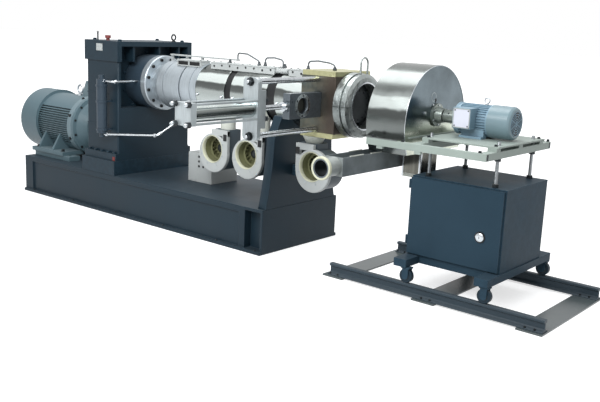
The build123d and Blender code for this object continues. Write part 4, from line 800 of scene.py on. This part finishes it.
def drive_train():
    seams = Fitting("gearbox_seams", "navy")
    for z, side in product((0.735, 0.995), SIDES):
        low, high = span(side, GEARBOX_SIDE, SEAM_SIDE)
        seams.box((-0.584, low, z), (-0.294, high, z + SEAM_HEIGHT))
    seams.done(0.001)
    bolts = Fitting("gearbox_bolts", "navy")
    for x, side in product((-0.545, -0.46, -0.375, -0.29, -0.212), SIDES):
        bolts.bolt((x, side * PLINTH_BOLT_LINE, PLINTH_TOP), Z, 0.026)
    for x, y in product((-0.545, -0.213), (-0.34, 0.34)):
        bolts.bolt((x, y, GEARBOX_TOP), Z, 0.028)
    for y, z in around(10, RECESS_CIRCLE, 18):
        if z > RECESS_BOTTOM:
            bolts.bolt((RECESS_FACE, y, z), X, 0.022)
    bolts.done()
    Fitting("gearbox_eye_bolt", "dark").eye_bolt((-0.205, 0.235, GEARBOX_TOP), 0.0228, 0.0072).done()
    plate = Fitting("gearbox_blank_plate", "light")
    plate.box((-0.437, -0.4085, 1.350), (-0.355, -0.405, 1.408)).done(0.001)
    tag = Fitting("gearbox_drain_tag", "red")
    tag.box((-0.213, -0.4215, 0.452), (-0.185, -0.417, 0.486)).done(0.001)
    unions = Fitting("oil_pipe_unions", "bright")
    for place, way, outline in UNIONS:
        unions.turned(place, way, outline, HEXAGON)
    unions.done()
    screws = Fitting("feed_flange_screws", "black")
    for y, z in around(12, FEED_FLANGE_CIRCLE, 15):
        screws.socket_screw((FEED_FLANGE_FACE, y, z), X, 0.0135, 0.011)
    screws.done()


BOX_FACE = -0.11
BOX_TOP = 1.316
BOX_MIDDLE = -0.06
BOX_FRAME_LOW = 1.266
BOX_WINDOWS = ((0.244, 0.356), (0.376, 0.492))
BOX_LIDS = ((0.226, 0.509), (0.614, 1.284), (1.412, 1.612))
BOX_POSTS = (0.232, 0.366, 0.498)
BOX_HOLES = [0.655 + 0.084 * index for index in range(8)] + [1.455, 1.535, 1.59]
BOX_SCREWS = (0.64, 0.79, 0.95, 1.11, 1.265, 1.43, 1.51, 1.595, 0.245, 0.49)
HOLE_HEIGHT = 1.296
LOW_HOLE_HEIGHT = 1.289
GLANDS = (0.777, 1.081, 1.143, 1.337, 1.556)
GLAND_OUTLINE = ((0, 0.014), (0.012, 0.014), (0.016, 0.011), (0.03, 0.009))
LAST_GLAND = (1.794, BOX_MIDDLE, 1.329)
LAST_GLAND_OUTLINE = (*GLAND_OUTLINE[:-1], (0.024, 0.009))
CLAMP_SCREWS = (0.56, 0.823, 0.939, 1.248, 1.383, 1.585)


def barrel_fittings():
    # Black sheets in the openings and holes are painted shade inside them
    dark = Fitting("terminal_box_opening_shade", "black")
    for x0, x1 in BOX_WINDOWS:
        dark.box((x0, BOX_FACE - 0.0012, 1.276), (x1, BOX_FACE + 0.001, 1.305))
    for index, x in enumerate(BOX_HOLES):
        z = HOLE_HEIGHT if index % 3 else LOW_HOLE_HEIGHT
        dark.disc((x, BOX_FACE + 0.0005, z), -Y, 0.0085, 0.0025, 16)
    dark.done()
    frames = Fitting("terminal_box_lids", "light")
    front, back = BOX_FACE - 0.004, BOX_FACE + 0.001
    for x0, x1 in BOX_LIDS:
        frames.box((x0, front, BOX_TOP - 0.006), (x1, -0.006, BOX_TOP + 0.003))
    for x in BOX_POSTS:
        frames.box((x - 0.004, front, BOX_FRAME_LOW + 0.002), (x + 0.004, back, BOX_TOP))
    frames.box((0.230, front, BOX_FRAME_LOW), (0.503, back, BOX_FRAME_LOW + 0.007))
    frames.done(0.001)
    screws = Fitting("terminal_box_screws", "dark")
    for x, y in product(BOX_SCREWS, (-0.098, -0.022)):
        screws.socket_screw((x, y, BOX_TOP + 0.003), Z, 0.006, 0.004)
    screws.done()
    glands = Fitting("conduit_glands", "dark")
    for x in GLANDS:
        glands.turned((x, BOX_MIDDLE, BOX_TOP), Z, GLAND_OUTLINE, HEXAGON)
    glands.turned(LAST_GLAND, Z, LAST_GLAND_OUTLINE, HEXAGON)
    glands.done()
    clamps = Fitting("cover_clamp_screws", "bright")
    for x in CLAMP_SCREWS:
        clamps.turned((x, -0.196, 1.065), -Y, ((0, 0.012), (0.008, 0.012), (0.011, 0.008)), 24)
    clamps.done()


TIE_ROD = 0.058
SLIDE_MIDDLE = -0.395
SLIDE_FACE = 1.7945
SLIDE_BACK = 1.7355
GLAND_FACE = -0.797
MOUNT_PLATE_FACE = -0.877
CYLINDER_END = -1.4432
STUD_HEIGHTS = (0.928, 1.272)
PORT_PLACES = (-0.814, -1.412)
PORT_HEIGHT = BARREL_HEIGHT + 0.045
PORT_OUTLINE = ((0, 0.016), (0.02, 0.016), (0.024, 0.011), (0.036, 0.011))
ROD_HEAD = -0.53
ROD_HEAD_OUTLINE = ((-SEAT, 0.036), (0.018, 0.036), (0.02, 0.030), (0.034, 0.030), (0.036, 0.026))


def screen_changer():
    for ending, x, way in (("", SLIDE_FACE, X), ("_rear", SLIDE_BACK, -X)):
        port = Fitting("screen_port_ring" + ending, "bright", "screen_changer")
        port.ring((x, SLIDE_MIDDLE, BARREL_HEIGHT), way, 0.055, 0.079, 0.0007, 64).done()
    plate = Fitting("screen_breaker_plate", "dark", "screen_changer")
    plate.ring((1.752, SLIDE_MIDDLE, BARREL_HEIGHT), X, 0.046, 0.0555, 0.026, 64).done()
    mesh_plate = Fitting("screen_mesh", "chute", "screen_changer")
    mesh_plate.disc((1.762, SLIDE_MIDDLE, BARREL_HEIGHT), X, 0.047, 0.006, 48).done()
    screws = Fitting("screen_port_screws", "black", "screen_changer")
    for y, z in around(6, 0.068, 30, (SLIDE_MIDDLE, BARREL_HEIGHT)):
        screws.disc((SLIDE_FACE, y, z), X, 0.0075, 0.00076, 16)
    screws.done()
    nuts = Fitting("mount_plate_nuts", "dark")
    studs = Fitting("mount_plate_studs", "bright")
    for z in STUD_HEIGHTS:
        nuts.turned((SCREEN_X, MOUNT_PLATE_FACE, z), -Y, ((0, 0.028), (0.004, 0.028)), 24)
        head = ((0, 0.023), (0.018, 0.023), (0.021, 0.019))
        nuts.turned((SCREEN_X, MOUNT_PLATE_FACE - 0.004, z), -Y, head, HEXAGON)
        studs.disc((SCREEN_X, MOUNT_PLATE_FACE - 0.0245, z), -Y, 0.012, 0.010, 24)
    for side, lift in product(SIDES, SIDES):
        x, z = SCREEN_X + side * TIE_ROD, BARREL_HEIGHT + lift * TIE_ROD
        nuts.turned((x, CYLINDER_END, z), -Y, ((0, 0.019), (0.024, 0.019), (0.027, 0.015)), HEXAGON)
        tip = ((0, 0.0125), (0.008, 0.0125), (0.013, 0.009), (0.0155, 0.003))
        studs.turned((x, CYLINDER_END - 0.027, z), -Y, tip, 20)
        nuts.turned((x, GLAND_FACE, z), Y, ((0, 0.017), (0.014, 0.017), (0.016, 0.014)), HEXAGON)
    nuts.done()
    studs.done()
    valves = Fitting("cylinder_fittings", "bright")
    for y in PORT_PLACES:
        valves.turned((SCREEN_X + 0.02, y, PORT_HEIGHT), Z, PORT_OUTLINE, HEXAGON)
    valves.done()
    seal = Fitting("cylinder_gland", "satin")
    seal.turned((SCREEN_X, GLAND_FACE, BARREL_HEIGHT), Y, ((0, 0.040), (0.012, 0.040), (0.016, 0.034)), 48)
    seal.done()
    rod_head = Fitting("rod_coupling", "slate", "screen_changer")
    rod_head.turned((SCREEN_X, ROD_HEAD, BARREL_HEIGHT), -Y, ROD_HEAD_OUTLINE, 24).done()


# Middle along X, the side that the neck stands on, the reach of its plate and of its slot
BLOWERS = ((0.788, 1, 0.1595, 0.136), (1.144, 1, 0.1595, 0.136), (1.770, -1, 0.144, 0.125))
INLET_HEIGHT = 0.665
INLET_LIP = (
    (-0.2468, 0.103), (-0.2468, 0.1065), (-0.2445, 0.1068), (-0.2445, 0.1034), (-0.219, 0.1034),
    (-0.219, 0.099), (-0.236, 0.0975),
)
INLET_LINING = ((-0.214, 0.1034), (-0.20, 0.1034), (-0.1265, 0.1034), (-0.1265, 0.099), (-0.216, 0.099))
INLET_BACK = -0.1262
FAN_HUB = ((0, 0.034), (0.03, 0.03), (0.038, 0.018), (0.04, 0.004))
FAN_WALL = -0.128
FAN_FRONT = -0.166
FAN_RADIUS = 0.094
FAN_BLADES = 14
BLADE_INNER = 0.06
BLADE_OUTER = 0.092
BLADE_SWEEP = 0.22
BLADE_HALF = 0.0016
SLOT_LOW = 0.742
SLOT_HALF = 0.017
PLATE_CENTRE = 0.635
PLATE_REACH = 0.152
PLATE_SHIFT = 0.008
PLATE_EDGE = 0.01
PLATE_SCREWS = 0.124
CABINET_FACE = -0.0597


def on_round_plate(x, z, blower):
    """Whether a screw lies well inside a blower's round light plate."""
    return sqrt((x - blower - PLATE_SHIFT) ** 2 + (z - PLATE_CENTRE) ** 2) < PLATE_REACH - PLATE_EDGE


def fan_blades(fans, x):
    """Curved blades between the wheel's two rings."""
    centre = Vector((x, 0, INLET_HEIGHT))
    for blade in range(FAN_BLADES):
        turn = 2 * pi * blade / FAN_BLADES
        swept = turn + BLADE_SWEEP
        inner = Vector((cos(turn) * BLADE_INNER, 0, sin(turn) * BLADE_INNER))
        outer = Vector((cos(swept) * BLADE_OUTER, 0, sin(swept) * BLADE_OUTER))
        thick = Vector((-sin(turn), 0, cos(turn))) * BLADE_HALF
        corners = (inner - thick, outer - thick, outer + thick, inner + thick)
        fans.rings([[centre + point + Y * y for point in corners] for y in (FAN_FRONT, FAN_WALL - 0.002)])


def blowers():
    lips = Fitting("blower_inlet_lips", "cream")
    walls = Fitting("blower_inlet_linings", "olive")
    plates = Fitting("blower_neck_plates", "light")
    slot_shade = Fitting("blower_plate_slot_shade", "black")
    fans = Fitting("blower_fan_wheels", "olive")
    hubs = Fitting("blower_fan_hubs", "dark")
    for x, side, plate_reach, slot_reach in BLOWERS:
        middle = (x, 0.0, INLET_HEIGHT)
        lips.turned(middle, Y, INLET_LIP, 64, closed=True)
        walls.turned(middle, Y, INLET_LINING, 64, closed=True)
        walls.disc((x, INLET_BACK, INLET_HEIGHT), -Y, 0.1, 0.002, 48)
        hubs.turned((x, FAN_WALL, INLET_HEIGHT), -Y, FAN_HUB, 32)
        fans.ring((x, FAN_WALL, INLET_HEIGHT), -Y, 0.058, FAN_RADIUS, 0.003, 48)
        fans.ring((x, FAN_FRONT, INLET_HEIGHT), -Y, 0.078, FAN_RADIUS, 0.003, 48)
        fan_blades(fans, x)
        # The black box on each plate is painted shade in the plate's slot
        slot = x + side * slot_reach
        slot_shade.box((slot - SLOT_HALF, -0.2495, SLOT_LOW), (slot + SLOT_HALF, -0.244, SLOT_LOW + 0.05))
        low, high = sorted((x + side * plate_reach, x + side * 0.108))
        plates.box((low, -0.2442, 0.64), (high, -0.216, 0.8205))
        low, high = sorted((x + side * plate_reach, x - side * 0.012))
        plates.box((low, -0.2440, 0.775), (high, -0.2162, 0.8203))
    plates.done(0.002)
    slot_shade.done(0.002)
    lips.done()
    walls.done()
    fans.done()
    hubs.done()
    screws = Fitting("blower_plate_screws", "satin")
    for blower, *_ in BLOWERS:
        for turn in range(0, 360, 45):
            angle = radians(turn + 22.5)
            x, z = blower + PLATE_SCREWS * cos(angle), INLET_HEIGHT + PLATE_SCREWS * sin(angle)
            if on_round_plate(x, z, blower):
                screws.socket_screw((x, -0.2452, z), -Y, 0.0055, 0.004)
    screws.done()
    # Black discs are painted shade in the cabinet's holes
    hole_shade = Fitting("terminal_cabinet_hole_shade", "black")
    for x, z in product((0.45, 0.5), (0.462, 0.502, 0.542)):
        hole_shade.disc((x, CABINET_FACE, z), -Y, 0.0105, 0.0015, 20)
    hole_shade.done()
    door = Fitting("terminal_cabinet_door", "light")
    door.box((0.334, CABINET_FACE - 0.0028, 0.34), (0.43, CABINET_FACE, 0.56)).done(0.001)


DIE_FACE = 1.955
DIE_RING_FACE = 2.0305
SPLIT_LOW = 1.0985
SPLIT_HIGH = 1.1015
# Inner and outer reach from the middle, start and end along X
DIE_SEAMS = (
    (0.166, 0.219, 2.0295, 2.0316), (0.2185, 0.2245, 1.915, 1.9712), (0.213, 0.2195, 1.981, DIE_RING_FACE),
)


def die_fittings():
    lip = Fitting("die_bore_lip", "bright")
    lip.ring((DIE_RING_FACE, 0, BARREL_HEIGHT), X, 0.1572, 0.166, 0.0035, 96).done()
    seam = Fitting("die_ring_seams", "black")
    for side in SIDES:
        for inner, outer, start, end in DIE_SEAMS:
            low, high = span(side, inner, outer)
            seam.box((start, low, SPLIT_LOW), (end, high, SPLIT_HIGH))
    seam.done()
    screws = Fitting("die_plate_screws", "dark")
    for y, z in around(12, 0.135, 15):
        screws.socket_screw((DIE_FACE, y, z), X, 0.008, 0.008)
    screws.done()


HOOD_FLOOR = 0.868
DRUM_RADIUS = 0.372
DRUM_FRONT = 2.3045
DRUM_REAR = 2.5892
PLATE_FACE = 2.589
HOLE_FACE = 2.5888
BEARING_FACE = 2.603
CHUTE_LOW = 0.69
CHUTE_TOP = 0.86
CHUTE_SIDE = -0.0995
OUTLET_X = 2.335
OUTLET_HEIGHT = 0.803
OUTLET_LIP = (
    (-0.001, 0.0605), (-0.001, 0.0685), (0.0012, 0.0715), (0.018, 0.0715), (0.018, 0.0683),
    (0.0025, 0.0683), (0.0025, 0.0585), (0.001, 0.0585),
)
TROUGH_EDGE = 0.8605


def hood_fittings():
    cut = degrees(asin((HOOD_FLOOR - DRUM_HEIGHT) / DRUM_RADIUS))
    rim = on_trolley("drum_rim", "bright")
    for x in (DRUM_REAR, DRUM_FRONT):
        rim.loop((x, 0, DRUM_HEIGHT), X, DRUM_RADIUS - 0.0028, 0.0026, cut, 180 - cut, 72)
    rim.done()
    # The black disc and bar are painted shade in the keyhole
    keyhole_shade = on_trolley("drum_keyhole_shade", "black")
    keyhole_shade.disc((HOLE_FACE, -0.02, 1.196), X, 0.010, 0.0012, 24)
    keyhole_shade.box((HOLE_FACE, -0.0245, 1.178), (HOLE_FACE + 0.0012, -0.0155, 1.196)).done()
    marks = on_trolley("drum_round_mark", "satin")
    marks.ring((PLATE_FACE - 0.0005, -0.045, 1.216), X, 0.026, 0.029, 0.0009, 48).done()
    bolts = on_trolley("drum_plate_bolts", "bright")
    for y, z, across in ((-0.146, 1.117, 0.020), (0.146, 1.117, 0.020), (-0.05, 1.165, 0.012)):
        bolts.bolt((PLATE_FACE, y, z), X, across)
    for y, z in around(6, 0.062, 30):
        bolts.bolt((BEARING_FACE, y, z), X, 0.011, 0.007)
    bolts.done()
    foot = on_trolley("drum_foot_angle", "table")
    foot.box((DRUM_REAR, -0.325, 0.9685), (2.600, 0.325, 0.978)).done(0.001)
    strips = on_trolley("chute_strips", "bright")
    for x in (2.4225, 2.5475):
        strips.box((x, -0.1022, CHUTE_LOW), (x + 0.010, CHUTE_SIDE, CHUTE_TOP))
    strips.box((2.5595, -0.1, CHUTE_LOW), (2.5615, -0.088, CHUTE_TOP)).done(0.0005)
    pale = on_trolley("chute_lower_edge", "duct")
    pale.box((2.421, -0.102, 0.6875), (2.5595, CHUTE_SIDE, 0.712)).done(0.0005)
    lip = on_trolley("outlet_lip", "cream")
    lip.turned((OUTLET_X, -0.862, OUTLET_HEIGHT), Y, OUTLET_LIP, 64, closed=True).done()
    face = on_trolley("outlet_face", "slate")
    face.ring((OUTLET_X, -0.8608, OUTLET_HEIGHT), Y, 0.0497, 0.0595, 0.0015, 64).done()
    lining = on_trolley("outlet_lining", "dark")
    lining.ring((OUTLET_X, -0.857, OUTLET_HEIGHT), Y, 0.0485, 0.0499, 0.12, 64).done()
    edge = on_trolley("trough_edge_strips", "duct")
    edge.box((2.3965, -0.66, TROUGH_EDGE), (2.4035, -0.52, 0.867))
    edge.box((2.2685, -0.50, TROUGH_EDGE), (2.2755, -0.36, 0.867))
    edge.box((2.3965, -0.44, TROUGH_EDGE), (2.4035, -0.20, 0.8655)).done(0.001)


SIDE_TUBE = 0.429
SIDE_TUBE_TOP = 0.962
MOTOR_PLATE_TOP = 0.9683
CROSS_TUBE_TOP = 0.992
TUBE_MOUTH = (0.923, 0.957)


def table_fittings():
    blocks = on_trolley("table_clamp_blocks", "table")
    for side, x in product(SIDES, (2.46, 2.735)):
        low, high = span(side, 0.418, 0.442)
        blocks.box((x - 0.022, low, 0.901), (x + 0.022, high, 0.9182))
    blocks.done(0.001)
    ends = on_trolley("table_tube_ends", "dark")
    bottom, top = TUBE_MOUTH
    for side in SIDES:
        low, high = span(side, SIDE_TUBE - 0.01, SIDE_TUBE + 0.01)
        for start, end in ((3.1895, 3.1906), (2.3594, 2.3605)):
            ends.box((start, low, bottom), (end, high, top))
    ends.done()
    bolts = on_trolley("table_bolts", "dark")
    for x, z in ((2.40, MOTOR_PLATE_TOP), (2.62, SIDE_TUBE_TOP), (3.14, SIDE_TUBE_TOP)):
        for side in SIDES:
            bolts.bolt((x, side * SIDE_TUBE, z), Z, 0.017, 0.012)
    bolts.bolt((3.176, SIDE_TUBE, SIDE_TUBE_TOP), Z, 0.016, 0.016)
    for x, side in product((2.72, 3.17), SIDES):
        bolts.bolt((x, side * 0.295, CROSS_TUBE_TOP), Z, 0.017, 0.011)
    bolts.done()


CUTTER_BOX_X = (2.799, 2.915)
CUTTER_BOX_Z = (1.055, 1.175)
CUTTER_BOX_FACE = -0.158
CUTTER_BOX_EDGE = 0.006
CUTTER_BOX_SCREW = 0.013
CUTTER_TOP = 1.197
CUTTER_END = 3.1458
CUTTER_GUARD = (0.016, 0.031, 0.046, 0.06, 0.074)


def cutter_motor():
    frame_strips = on_trolley("cutter_box_frame", "light")
    (x0, x1), (z0, z1), y, wide = CUTTER_BOX_X, CUTTER_BOX_Z, CUTTER_BOX_FACE, CUTTER_BOX_EDGE
    for low_x, low_z, high_x, high_z in (
        (x0, z0, x1, z0 + wide), (x0, z1 - wide, x1, z1), (x0, z0, x0 + wide, z1), (x1 - wide, z0, x1, z1),
    ):
        frame_strips.box((low_x, y - 0.003, low_z), (high_x, y + 0.001, high_z))
    frame_strips.done(0.001)
    lid = on_trolley("cutter_box_lid", "pale_blue")
    lid.box((x0 + 0.005, y - 0.0012, z0 + 0.005), (x1 - 0.005, y + 0.001, z1 - 0.005)).done()
    screws = on_trolley("cutter_box_screws", "dark")
    inset = CUTTER_BOX_SCREW
    for x, z in product((x0 + inset, x1 - inset), (z0 + inset, z1 - inset)):
        screws.socket_screw((x, y - 0.001, z), -Y, 0.0042, 0.003)
    screws.done()
    # The black disc behind the grille is painted shade inside the cowl
    vent_shade = on_trolley("cutter_cowl_vent_shade", "black")
    vent_shade.disc((CUTTER_END - 0.001, 0, BARREL_HEIGHT), X, CUTTER_GUARD[-1], 0.0012, 64).done()
    grille = on_trolley("cutter_cowl_grille", "motor_blue")
    grille.guard((CUTTER_END, 0, BARREL_HEIGHT), CUTTER_GUARD, 0.0024, steps=48, spokes=4, first=0.5).done()
    on_trolley("cutter_motor_eye", "bright").eye_bolt((2.942, 0, CUTTER_TOP), 0.017, 0.0042, Y).done()
    band = on_trolley("cutter_motor_bands", "motor_blue")
    for x in (2.764, 2.985):
        band.ring((x, 0, BARREL_HEIGHT), X, 0.0975, 0.1005, 0.009, 64)
    band.done()
    bolts = on_trolley("cutter_motor_bolts", "bright")
    for y, z in around(4, 0.084, 45):
        bolts.bolt((2.7622, y, z), -X, 0.013)
    bolts.done()
    screws = Fitting("coupling_screws", "dark", "cutter_rotor")
    for y, z in around(3, 0.0415, 30):
        screws.socket_screw((2.7, y, z), (0, y, z - BARREL_HEIGHT), 0.005, 0.003)
    screws.done()


RAIL_BOLTS = (2.13, 2.19, 2.835, 2.895, 3.515, 3.575)
RAIL_BOLT_HEIGHT = 0.0182
RAILS = {"near": -0.41, "far": 0.41}
AXLES = {"front": 2.705, "rear": 3.242}
WHEEL_HEIGHT = 0.1303
HUB_OUTLINE = ((0, 0.026), (0.0038, 0.026), (0.005, 0.02), (0.0056, 0.01))
DOOR_FACE = -0.3025
DOOR_LOCK = (3.125, DOOR_FACE, 0.441)
LOCK_OUTLINE = ((0.0, 0.0277), (0.0095, 0.027), (0.0132, 0.022), (0.014, 0.009))
ANCHORS = (-1.35, -0.75, -0.15, 0.45, 1.05, 1.44)
ANCHOR_LINE = 0.4405
ANCHOR_HEIGHT = 0.0238


def trolley_fittings():
    low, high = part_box("wheel_near_front")
    half = (high[1] - low[1]) / 2
    for (rail, y), (axle, x) in product(RAILS.items(), AXLES.items()):
        body = f"wheel_{rail}_{axle}"
        hub = Fitting(body + "_hub", "dark", body)
        for side in SIDES:
            hub.turned((x, y + side * (half - 0.003), WHEEL_HEIGHT), Y * side, HUB_OUTLINE, 32)
        hub.done()
    ring = Fitting("door_lock_ring", "black", "cabinet_door")
    ring.ring(DOOR_LOCK, -Y, 0.0275, 0.034, 0.0045, 40).done()
    disc = Fitting("door_lock_disc", "bright", "cabinet_door")
    disc.turned(DOOR_LOCK, -Y, LOCK_OUTLINE, 40).done()
    # The black bar is painted shade in the key slot
    key = Fitting("door_lock_slot_shade", "black", "cabinet_door")
    key.box((3.1235, DOOR_FACE - 0.0148, 0.433), (3.1265, DOOR_FACE - 0.0138, 0.449)).done()
    lining = on_trolley("cabinet_corner_strips", "cabinet")
    lining.box((2.6205, -0.2845, 0.7365), (3.2635, 0.2855, 0.7425)).done(0.002)
    bolts = Fitting("rail_bolts", "dark")
    for y, x in product(RAILS.values(), RAIL_BOLTS):
        for side in SIDES:
            bolts.bolt((x, y + side * 0.026, RAIL_BOLT_HEIGHT), Z, 0.011, 0.008)
    bolts.done()
    anchors = Fitting("base_anchor_bolts", "dark")
    for x, side in product(ANCHORS, SIDES):
        anchors.bolt((x, side * ANCHOR_LINE, ANCHOR_HEIGHT), Z, 0.013, 0.010)
    anchors.done()


main_motor()
drive_train()
barrel_fittings()
screen_changer()
blowers()
die_fittings()
hood_fittings()
table_fittings()
cutter_motor()
trolley_fittings()

stage()
white_world()
studio_lamps()
camera()
bpy.context.scene.view_settings.view_transform = "Standard"
